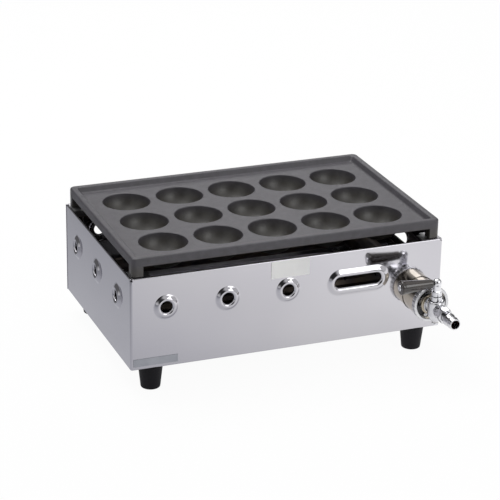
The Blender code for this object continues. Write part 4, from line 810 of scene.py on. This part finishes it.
def border_ring(inset, height):
    """One ring of the border: clip each place to the straight part, then step outwards by the corner radius."""
    radius = max(PAN_CORNER - 0.32 * inset, 0.001)
    half = PAN_HALF - inset - radius
    return ring_at(np.clip(places, -half, half) + radius * directions, height)


across_rim = eased([(RIM_W + RIM_DRAFT + 0.0036, PLATE_Z), (RIM_W + RIM_DRAFT, PLATE_Z), (RIM_W, PAN_TOP),
                    (0, PAN_TOP), (0, PAN_TOP - 0.006)], np.array([[0.0017], [0.0012], [0.0020]]), steps=6)
bottom = np.where(on_leg, PLATE_UNDER - LEG_DROP, PLATE_UNDER)
leg_inner = np.clip(places, -(PAN_HALF - LEG_SIDE), PAN_HALF - LEG_SIDE)
rings = [ring_at(fields_edge, PLATE_Z)] + [border_ring(inset, height) for inset, height in across_rim]
rings += [border_ring(0, PLATE_UNDER + 0.0012)]
rings += [border_ring(inset, bottom + rise) for inset, rise in ((0, 0.0008), (0.0002, 0.0003), (0.0008, 0))]
rings += [ring_at(leg_inner, bottom), ring_at(leg_inner, PLATE_UNDER), ring_at(fields_edge, PLATE_UNDER)]
border = surface(np.array(rings)[::-1], around=True)
make_piece("takoyaki_pan", top_fields + low_fields + [border], cast_iron, "pan")

# %% [markdown]
# ## The gas inlet
#
# Everything on the inlet's axis was turned on a lathe or drawn as a tube, so it is a profile spun about that
# axis. Places along the axis count from the front panel outwards. Three things are not round: the knurled
# edge, the air windows and the hexagons. They come from letting the radius depend on the angle.

# %% Frames and shapes for the inlet
AXIS_X, AXIS_Z, PANEL_Y = 0.1228, 0.0555, MIDDLE_Y - CASE_D / 2
PLUG_AT, SEAT = 0.0338, 0.0003
FORWARD = Matrix.Rotation(math.pi / 2, 4, "X")
inlet = Matrix.Translation((AXIS_X, PANEL_Y, AXIS_Z)) @ FORWARD
cock = Matrix.Translation((AXIS_X, PANEL_Y - PLUG_AT, AXIS_Z))
FINE = 0.00025


def hexagon_radius(corner, angle):
    """A hexagon in polar form: r = corner x cos 30 / cos(angle within the side - 30)."""
    return corner * math.cos(math.pi / 6) / np.cos(np.mod(angle, math.pi / 3) - math.pi / 6)


def hex_nut(corner, low, high, hole):
    """A nut with a bore: the hexagon is limited by a cone at its ends, which leaves the usual curved chamfers."""
    angle = np.linspace(0, math.tau, 97)[:-1]
    flat = corner * math.cos(math.pi / 6)
    cone = np.linspace(flat * 0.96, corner * 1.001, 7)
    rise = (cone - cone[0]) * 0.55
    outside = hexagon_radius(corner, angle)
    rows = [(cone[i], high - rise[i]) for i in range(7)] + [(cone[i], low + rise[i]) for i in range(6, -1, -1)]
    radius = [np.minimum(outside, limit) for limit, _ in rows]
    height = [place for _, place in rows]
    ease = min(FINE, (flat * 0.96 - hole) / 3)
    bore = [(hole + ease, low), (hole, low + ease), (hole, high - ease), (hole + ease, high)]
    radius += [np.full(len(angle), r) for r, _ in bore] + [radius[0]]
    height += [z for _, z in bore] + [height[0]]
    return spun(np.array(radius), np.array(height)[:, None], angle)


def sector_block(inner, outer, middle, span, low, high, steps=14):
    """A closed block between two radii and two angles: a small section swept round, then drawn to its middle."""
    section = np.array([(inner, low), (outer, low), (outer, high), (inner, high)])
    angle = np.linspace(middle - span / 2, middle + span / 2, steps)
    angle = np.concatenate([angle[:1], angle, angle[-1:]])
    rings = np.broadcast_to(section, (len(angle), 4, 2)).copy()
    rings[[0, -1]] = section.mean(axis=0)
    return spun(rings[..., 0], rings[..., 1], angle[:, None])


print("inlet axis at", [round(v, 4) for v in inlet.translation])

# %% Mixing tube
TUBE_R, TUBE_WALL, TUBE_MOUTH = 0.0156, 0.0012, 0.0192
THROAT_R, THROAT_START, THROAT_END, WIDE_END = 0.0098, -0.024, -0.034, -0.008
DAMPER_AT, WINDOW_SPAN, WINDOWS = math.radians(-87), math.radians(58), 3
WINDOW_IN, WINDOW_OUT = 0.0096, 0.0132
HUB_NECK = 0.0062


def spokes(window_at, low, high, inner, outer):
    """The metal left between the air windows of a plate."""
    third = math.tau / WINDOWS
    return [sector_block(inner, outer, window_at + third * (i + 0.5), third - WINDOW_SPAN, low, high)
            for i in range(WINDOWS)]


plate_back = TUBE_MOUTH - TUBE_WALL
tube_wall = turned_ring([(WINDOW_OUT, TUBE_MOUTH), (WINDOW_OUT, plate_back), (TUBE_R - TUBE_WALL, plate_back),
                         (TUBE_R - TUBE_WALL, WIDE_END), (THROAT_R - 0.001, THROAT_START),
                         (THROAT_R - 0.001, THROAT_END), (THROAT_R, THROAT_END), (THROAT_R, THROAT_START),
                         (TUBE_R, WIDE_END), (TUBE_R, TUBE_MOUTH)], 0.0006, 96)
mouth_hub = turned_ring([(HUB_NECK + SEAT, TUBE_MOUTH), (HUB_NECK + SEAT, plate_back), (WINDOW_IN, plate_back),
                         (WINDOW_IN, TUBE_MOUTH)], FINE / 2, 72)
SINK = 0.00004
mouth_spokes = spokes(DAMPER_AT + math.pi / WINDOWS, plate_back + SINK, TUBE_MOUTH - SINK, WINDOW_IN - 0.0003,
                      WINDOW_OUT + 0.0003)
make_piece("mixing_tube", [tube_wall, mouth_hub] + mouth_spokes, passivated, "casing", inlet)

# %% [markdown]
# The damper ring is a rim with a web behind it. The recess between the rim and the boss gets painted shade:
# its colour is darkened there to stand in for the shadow it lies in. The distance from the inlet's axis decides
# where that is, and it stays the same when the ring turns.

# %% Shade for the recess
# painted shade: the recess colour is multiplied by this
RECESS_SHADE = 0.12


def paint_recess_shade(material, axis, inner, outer):
    """Painted shade: darken a finish where inner < sqrt(x'^2 + z'^2) < outer, x' and z' counted from the axis."""
    tree = material.node_tree
    shader = tree.nodes["Principled BSDF"]
    place = add_node(tree, "ShaderNodeTexCoord").outputs["Object"]
    offset = add_node(tree, "ShaderNodeVectorMath", operation="SUBTRACT")
    across = add_node(tree, "ShaderNodeVectorMath", operation="MULTIPLY")
    radius = add_node(tree, "ShaderNodeVectorMath", operation="LENGTH")
    offset.inputs[1].default_value, across.inputs[1].default_value = axis, (1, 0, 1)
    inside = add_node(tree, "ShaderNodeMath", operation="COMPARE")
    inside.inputs[1].default_value, inside.inputs[2].default_value = (inner + outer) / 2, (outer - inner) / 2
    shade = add_node(tree, "ShaderNodeMix", data_type="RGBA", blend_type="MULTIPLY")
    shade.inputs[7].default_value = (RECESS_SHADE, RECESS_SHADE, RECESS_SHADE, 1)
    wire(tree, (place, offset.inputs[0]), (offset.outputs[0], across.inputs[0]),
         (across.outputs[0], radius.inputs[0]), (radius.outputs["Value"], inside.inputs[0]),
         (inside.outputs[0], shade.inputs["Factor"]),
         (shader.inputs["Base Color"].links[0].from_socket, shade.inputs[6]),
         (shade.outputs[2], shader.inputs["Base Color"]))


print("recess shade:", RECESS_SHADE)

# %% Damper ring
DAMPER_R, DAMPER_REAR, DAMPER_L, WEB = 0.0164, TUBE_MOUTH + SEAT, 0.0058, 0.0012
RING_BORE, BOSS_R, BOSS_L, JOURNAL_R = 0.0136, 0.0091, 0.0036, 0.0076
NOTCHES, NOTCH_DEPTH, NOTCH_HALF = 24, 0.0004, 0.0004
DAMPER_FRONT = DAMPER_REAR + DAMPER_L
ring_angle = np.linspace(0, math.tau, NOTCHES * 12, endpoint=False)
from_notch = np.abs(np.mod(ring_angle * NOTCHES / math.tau + 0.5, 1) - 0.5) * math.tau * DAMPER_R / NOTCHES
notch_depth = NOTCH_DEPTH * np.clip((NOTCH_HALF + 0.00025 - from_notch) / 0.0004, 0, 1)
rim_line = eased([(0.0150, DAMPER_REAR), (DAMPER_R, DAMPER_REAR), (DAMPER_R, DAMPER_FRONT),
                  (RING_BORE, DAMPER_FRONT), (RING_BORE, DAMPER_REAR), (0.0150, DAMPER_REAR)], 0.0007)
cut_here = (rim_line[:, 0] > DAMPER_R - 0.0004) & (rim_line[:, 1] < DAMPER_FRONT - 0.0001)
ring_rim = spun(rim_line[:, :1] - cut_here[:, None] * notch_depth[None, :], rim_line[:, 1:], ring_angle)
web_front = DAMPER_REAR + WEB
boss = turned_ring([(JOURNAL_R + SEAT, DAMPER_REAR), (WINDOW_IN, DAMPER_REAR), (WINDOW_IN, web_front),
                    (BOSS_R, web_front), (BOSS_R, DAMPER_REAR + BOSS_L),
                    (JOURNAL_R + SEAT, DAMPER_REAR + BOSS_L)], FINE, 72)
damper_parts = [ring_rim, boss] + spokes(DAMPER_AT, DAMPER_REAR + SINK, web_front - SINK, WINDOW_IN - 0.0003,
                                         RING_BORE + 0.0004)
damper_parts.append(square_ring(WINDOW_OUT, RING_BORE + 0.0004, DAMPER_REAR + SINK / 2, web_front, FINE / 4, 96))
for i in range(WINDOWS):
    damper_parts.append(sector_block(BOSS_R - 0.0002, RING_BORE + 0.0003, DAMPER_AT + math.radians(38) +
                                     math.tau / WINDOWS * i, 0.15, web_front - 0.0002, web_front + 0.0014, 8))
# painted shade in the damper's recess, between its rim and its boss
paint_recess_shade(satin, inlet.translation, BOSS_R + 0.0001, RING_BORE - 0.0001)
make_piece("damper_ring", damper_parts, satin, "damper", inlet)

# %% Stop screw, hub and union nut
stop_at = math.radians(-109)
stop_place = Matrix.Translation((0.0113 * math.cos(stop_at), 0.0113 * math.sin(stop_at), 0))
head_low = web_front + SEAT
head_top = head_low + 0.0012
stop_screw = turned(eased([(0, plate_back), (0.001, plate_back), (0.001, head_low), (0.0017, head_low),
                           (0.0017, head_top), (0, head_top)], 0.0002), 32)
make_piece("damper_stop_screw", [placed(stop_screw, stop_place)], zinc, "casing", inlet)

HUB_FRONT = DAMPER_REAR + BOSS_L + SEAT + 0.0016
HUB_REAR, SOCKET_R, GAS_R, JET_R = 0.012, 0.0053, 0.0016, 0.0033
socket = HUB_FRONT - 0.005
hub = turned_ring([(0.0094, HUB_FRONT), (0.0094, HUB_FRONT - 0.0016), (JOURNAL_R, HUB_FRONT - 0.0016),
                   (JOURNAL_R, DAMPER_REAR), (HUB_NECK, DAMPER_REAR), (HUB_NECK, HUB_REAR), (JET_R, HUB_REAR),
                   (JET_R, HUB_REAR + 0.004), (GAS_R, HUB_REAR + 0.004), (GAS_R, socket), (SOCKET_R, socket),
                   (SOCKET_R, HUB_FRONT)], FINE, 72)
make_piece("nozzle_hub", [hub], brass, "casing", inlet)

# %% [markdown]
# ## The cock, its plug and the lever
#
# The cock's body is an upright barrel with a pipe on each side. The taper plug shows only as its notched head
# above and its stud below, with washers and a nut. The lever stands on the plug: a hub, a flat stem and a
# ball, with the moulded grip pointing to the left. These pieces turn together, so they ride on one body.

# %% Cock body
BARREL_R, BARREL_TOP, BARREL_SIDE, BARREL_FOOT = 0.0074, 0.0073, 0.006, 0.0105
PLUG_TOP_R, PLUG_FOOT_R, STUD_R = 0.0036, 0.0026, 0.0015
COLLAR_AT, RING_AT, RING_T, FRONT_END = HUB_FRONT + SEAT, 0.0412, 0.0018, 0.0500
towards_front = Matrix.Translation((0, PLUG_AT, 0)) @ FORWARD
past_bore = 0.0046
barrel = turned_ring([(PLUG_FOOT_R + SEAT, -BARREL_FOOT), (0.0048, -BARREL_FOOT), (BARREL_R, -BARREL_SIDE),
                      (BARREL_R, BARREL_SIDE), (0.0066, BARREL_TOP), (PLUG_TOP_R + SEAT, BARREL_TOP)], 0.0008, 72)
rear_pipe = turned_ring([(GAS_R, socket + SEAT), (0.0050, socket + SEAT), (0.0050, COLLAR_AT),
                         (0.0078, COLLAR_AT), (0.0078, COLLAR_AT + 0.0013), (0.0054, COLLAR_AT + 0.0013),
                         (0.0054, PLUG_AT - past_bore), (GAS_R, PLUG_AT - past_bore)], FINE, 64)
front_pipe = turned_ring([(GAS_R, PLUG_AT + past_bore), (0.0054, PLUG_AT + past_bore), (0.0054, RING_AT),
                          (0.0063, RING_AT), (0.0063, RING_AT + RING_T), (0.0054, RING_AT + RING_T),
                          (0.0054, FRONT_END), (0.0030, FRONT_END), (0.0030, RING_AT + RING_T), (GAS_R, RING_AT)],
                         FINE, 64)
stop_pin = turned(eased([(0, 0.0064), (0.00055, 0.0064), (0.00055, 0.0091), (0, 0.0091)], 0.0002), 20)
pin_at = math.radians(60)
stop_pin = placed(stop_pin, Matrix.Translation((0.0047 * math.cos(pin_at), 0.0047 * math.sin(pin_at), 0)))
make_piece("cock_body", [barrel, placed(rear_pipe, towards_front), placed(front_pipe, towards_front), stop_pin],
           chrome, "casing", cock)

# %% Plug with its notched head
HEAD_R, HEAD_H, SPIGOT_R, SPIGOT_H, STUD_L = 0.0050, 0.0039, 0.0023, 0.0027, 0.0051
head = BARREL_TOP + SEAT
notch_half = math.radians(57)
notch_angles = np.concatenate([np.linspace(-notch_half, notch_half, 24),
                               np.linspace(notch_half, math.tau - notch_half, 50)]) + pin_at - math.pi / 4
in_notch = np.arange(len(notch_angles)) < 24
bottom_line = [(0, -BARREL_FOOT - STUD_L), (STUD_R - FINE, -BARREL_FOOT - STUD_L),
               (STUD_R, -BARREL_FOOT - STUD_L + FINE), (STUD_R, -BARREL_FOOT), (PLUG_FOOT_R, -BARREL_FOOT),
               (PLUG_TOP_R, BARREL_TOP), (PLUG_TOP_R, head)]
rows = [(np.full(len(notch_angles), r), z) for r, z in bottom_line]
notched = np.where(in_notch, 0.0040, HEAD_R)
rows += [(notched, head), (notched, head + 0.0022), (np.full(len(notch_angles), HEAD_R), head + 0.0022)]
top_line = eased([(HEAD_R, head + 0.0022), (HEAD_R, head + HEAD_H), (SPIGOT_R, head + HEAD_H),
                  (SPIGOT_R, head + HEAD_H + SPIGOT_H), (0, head + HEAD_H + SPIGOT_H)], 0.0004)[1:]
rows += [(np.full(len(notch_angles), r), z) for r, z in top_line]
plug = spun(np.array([r for r, _ in rows]), np.array([[z] for _, z in rows]), notch_angles)
make_piece("cock_plug", [plug], chrome, "cock_lever", cock)

# %% Washers and nut under the plug
WASHER_T, SPRING_T, NUT_T = 0.0008, 0.0010, 0.0021
washer = -BARREL_FOOT - SEAT
make_piece("plug_washer", [square_ring(STUD_R + SEAT, 0.0036, washer - WASHER_T, washer, 0.00015, 48)],
           chrome, "cock_lever", cock)
spring = washer - WASHER_T - SEAT
gap = 0.0004 / 0.0025
split_ring = sector_block(STUD_R + SEAT, 0.0029, math.pi, math.tau - 2 * gap, spring - SPRING_T, spring, 48)
make_piece("plug_spring_washer", [split_ring], zinc, "cock_lever", cock)
nut_top = spring - SPRING_T - SEAT
make_piece("plug_nut", [hex_nut(0.0033, nut_top - NUT_T, nut_top, STUD_R + SEAT)], chrome, "cock_lever",
           cock)

# %% Lever
LEVER_LOW, LEVER_H, LEVER_R, GRIP_RISE, BALL_R = head + HEAD_H + SEAT, 0.0042, 0.0046, 0.0236, 0.0040
hub_line = eased([(0, LEVER_LOW + SPIGOT_H), (SPIGOT_R + SEAT, LEVER_LOW + SPIGOT_H),
                  (SPIGOT_R + SEAT, LEVER_LOW),
                  (LEVER_R, LEVER_LOW), (LEVER_R, LEVER_LOW + LEVER_H), (0, LEVER_LOW + LEVER_H)], 0.0005)


def rounded_bar(width, depth, corner, low, high):
    """A flat bar with rounded upright edges: clipped square places plus the corner radius, as for the pan."""
    angle = np.linspace(0, math.tau, 49)[:-1]
    out = np.column_stack([np.cos(angle), np.sin(angle)])
    half = np.array([width / 2 - corner, depth / 2 - corner])
    ring = np.clip(out * 1e3, -half, half) + corner * out
    shares = np.array([0, 1, 1, 0])[:, None, None]
    return surface(lifted(ring * shares, np.array([low, low, high, high])), around=True)


ball_turn = np.linspace(-math.pi / 2, math.pi / 2, 25)
ball = turned(np.column_stack([BALL_R * np.cos(ball_turn), GRIP_RISE + BALL_R * np.sin(ball_turn)]), 48)
stem = rounded_bar(0.0064, 0.0050, 0.0012, LEVER_LOW + SPIGOT_H + SEAT, GRIP_RISE)
make_piece("lever_arm", [turned(hub_line, 56), stem, ball], chrome, "cock_lever", cock)
pin_place = Matrix.Translation((0, 0, head + HEAD_H + SPIGOT_H / 2)) @ FORWARD
cross_pin = turned(eased([(0, -0.0042), (0.0008, -0.0042), (0.0008, 0.0042), (0, 0.0042)], 0.0002), 24)
make_piece("lever_pin", [placed(cross_pin, pin_place)], zinc, "cock_lever", cock)

# %% Grip and its rod
to_grip = Matrix.Translation((0, 0, GRIP_RISE)) @ Matrix.Rotation(-math.pi / 2, 4, "Y")
GRIP_START, GRIP_END, ROD_R = 0.0045, 0.0350, 0.0015
grip_line = [(ROD_R + SEAT, GRIP_START), (0.0037, GRIP_START), (0.0060, GRIP_END - 0.0032),
             (0.0064, GRIP_END - 0.0018), (0.0062, GRIP_END), (ROD_R + SEAT, GRIP_END)]
grip = placed(turned_ring(grip_line, 0.0011, 72), to_grip)
make_piece("lever_grip", [grip], bakelite, "cock_lever", cock)
cap = GRIP_END + SEAT
rod_line = eased([(0, 0.0015), (ROD_R, 0.0015), (ROD_R, cap), (0.0028, cap), (0.0026, cap + 0.0009),
                  (0.0012, cap + 0.0011), (0, cap + 0.0011)], 0.0003)
make_piece("grip_rod", [placed(turned(rod_line, 40), to_grip)], chrome, "cock_lever", cock)

# %% [markdown]
# ## The hose nipple
#
# The barbed nipple is one turned profile. Its barb rises gently, drops back, and ends in a small lip, and
# that is where a rubber hose grips. A union nut holds it to the cock.

# %% Nipple, gasket and union nut
NUT_START, NUT_HEX, NUT_END, NUT_R = 0.0450, 0.0466, 0.0540, 0.0071
NECK_R, BORE_R, TIP, TIP_R = 0.0044, 0.00395, 0.0716, 0.0049
flange = FRONT_END + 2 * SEAT + 0.0007
nipple_line = [(BORE_R, flange), (0.0053, flange), (0.0053, flange + 0.0010), (NECK_R, flange + 0.0010),
               (NECK_R, 0.0560), (0.0059, 0.0595), (0.0059, 0.0610), (0.0052, 0.0660), (0.0056, 0.0673),
               (TIP_R, TIP - 0.0004), (TIP_R - 0.0003, TIP), (BORE_R, TIP)]
make_piece("hose_nipple", [turned_ring(nipple_line, 0.0004, 72)], chrome, "casing", inlet)
gasket = FRONT_END + SEAT
make_piece("nipple_gasket", [square_ring(0.0030, 0.0052, gasket, gasket + 0.0007, 0.0001, 40)], fibre, "casing",
           inlet)
nut_ring = square_ring(0.0054 + SEAT, 0.0066, NUT_START, NUT_HEX + 0.0004, FINE, 64)
nut_front = square_ring(NECK_R + SEAT, 0.0059, NUT_END - 0.0014, NUT_END - 0.0002, 0.0001, 64)
make_piece("nipple_nut", [nut_ring, nut_front, hex_nut(NUT_R, NUT_HEX, NUT_END, 0.0054 + SEAT)], chrome,
           "casing", inlet)

# %% [markdown]
# ## Feet and sheet screws
#
# The feet are tapered rubber cones, open below for the bolt's head. The sheet screws have low round heads
# with a cross recess, which is a square-ended star cut into the dome.

# %% Rubber feet
FOOT_X, FOOT_Y, FOOT_TOP_R, FOOT_BASE_R, BOLT_HOLE_R, HEAD_HOLE_R, HEAD_HOLE_H = (
    0.1225, 0.0825, 0.0107, 0.0084, 0.0027, 0.0052, 0.0090)
corners = {"front_left": (-1, -1), "front_right": (1, -1), "rear_left": (-1, 1), "rear_right": (1, 1)}
foot_line = [(BOLT_HOLE_R, FOOT_TOP - SEAT), (FOOT_TOP_R, FOOT_TOP - SEAT), (FOOT_BASE_R, 0), (HEAD_HOLE_R, 0),
             (HEAD_HOLE_R, HEAD_HOLE_H), (BOLT_HOLE_R, HEAD_HOLE_H)]
for corner, (side, end) in corners.items():
    place = Matrix.Translation((side * FOOT_X, end * FOOT_Y + MIDDLE_Y, 0))
    make_piece("foot_" + corner, [turned_ring(foot_line, 0.0012, 72)], rubber, "casing", place)

# %% Sheet screws
SCREW_R, SCREW_HEAD_R, SCREW_HEAD_H, SCREW_L, CROSS_DEPTH = 0.0014, 0.0030, 0.0016, 0.0044, 0.0009
REAR_SCREW_X, REAR_SCREW_HEIGHTS, BASE_SCREW_X, BASE_SCREW_Y = 0.1355, (0.014, 0.069), 0.1315, 0.042
screw_angle = np.linspace(0, math.tau, 49)[:-1]
in_arm = np.minimum(np.abs(np.sin(screw_angle)), np.abs(np.cos(screw_angle))) < 0.30
dome = np.linspace(0, math.pi / 2, 9)
screw_rows = [(0, -SCREW_L, 0), (SCREW_R * 0.6, -SCREW_L, 0), (SCREW_R, -SCREW_L + 0.0008, 0),
              (SCREW_R, SEAT, 0), (SCREW_HEAD_R - FINE, SEAT, 0), (SCREW_HEAD_R, SEAT + FINE, 0)]
screw_rows += [(SCREW_HEAD_R * (0.55 + 0.45 * math.cos(a)), SEAT + FINE + (SCREW_HEAD_H - FINE) * math.sin(a), 0)
               for a in dome[1:]]
top = SEAT + SCREW_HEAD_H
screw_rows += [(0.00150, top, 0), (0.00148, top, 1), (0.00070, top, 1), (0.00062, top, 2), (0, top, 2)]
screw_radius = np.array([[r] for r, _, _ in screw_rows])
screw_height = np.array([np.where(in_arm | (depth == 2), z - CROSS_DEPTH * (depth > 0), z)
                         for _, z, depth in screw_rows])
screw = spun(screw_radius, screw_height, screw_angle)
BACK = Matrix.Rotation(math.pi, 4, "Z") @ FORWARD
casing_origin = Matrix.Translation((0, MIDDLE_Y, FOOT_TOP))
rear_spots = [(-side * REAR_SCREW_X, CASE_D / 2, height) for side in (-1, 1) for height in REAR_SCREW_HEIGHTS]
base_spots = [(side * BASE_SCREW_X, end * BASE_SCREW_Y, 0) for side in (-1, 1) for end in (-1, 1)]
DOWN = Matrix.Rotation(math.pi, 4, "X")
screw_places = [("rear_screw_%d", rear_spots, BACK), ("base_screw_%d", base_spots, DOWN)]
for title, spots, turn in screw_places:
    for number, spot in enumerate(spots):
        place = casing_origin @ Matrix.Translation(spot) @ turn
        make_piece(title % (number + 1), [screw], zinc, "casing", place)

# %% [markdown]
# ## Pieces that stay as packed
#
# Flat brackets, hidden bolts and the blank foils are already as fine as they need to be. They keep their
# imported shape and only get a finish.

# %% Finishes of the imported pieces
dressing = [
    (dull, ["base_plate", "burner_rest", "manifold_rest"] + ["pan_ledge_" + corner for corner in corners]),
    (zinc, ["foot_%s_%s" % (kind, corner) for kind in ("bolt", "nut") for corner in corners] +
     ["rest_screw_%d" % i for i in (1, 2, 3)]),
    (burner_steel, ["burner_manifold", "burner_front", "burner_middle", "burner_rear"]),
    (brass, ["hub_nut", "gas_jet"]), (plate_metal, ["name_plate"]), (paper, ["blank_label"])]
for material, names in dressing:
    for name in names:
        data = bpy.data.objects[name].data
        data.materials.clear()
        data.materials.append(material)
print("packed pieces with a new finish:", sum(len(names) for _, names in dressing))
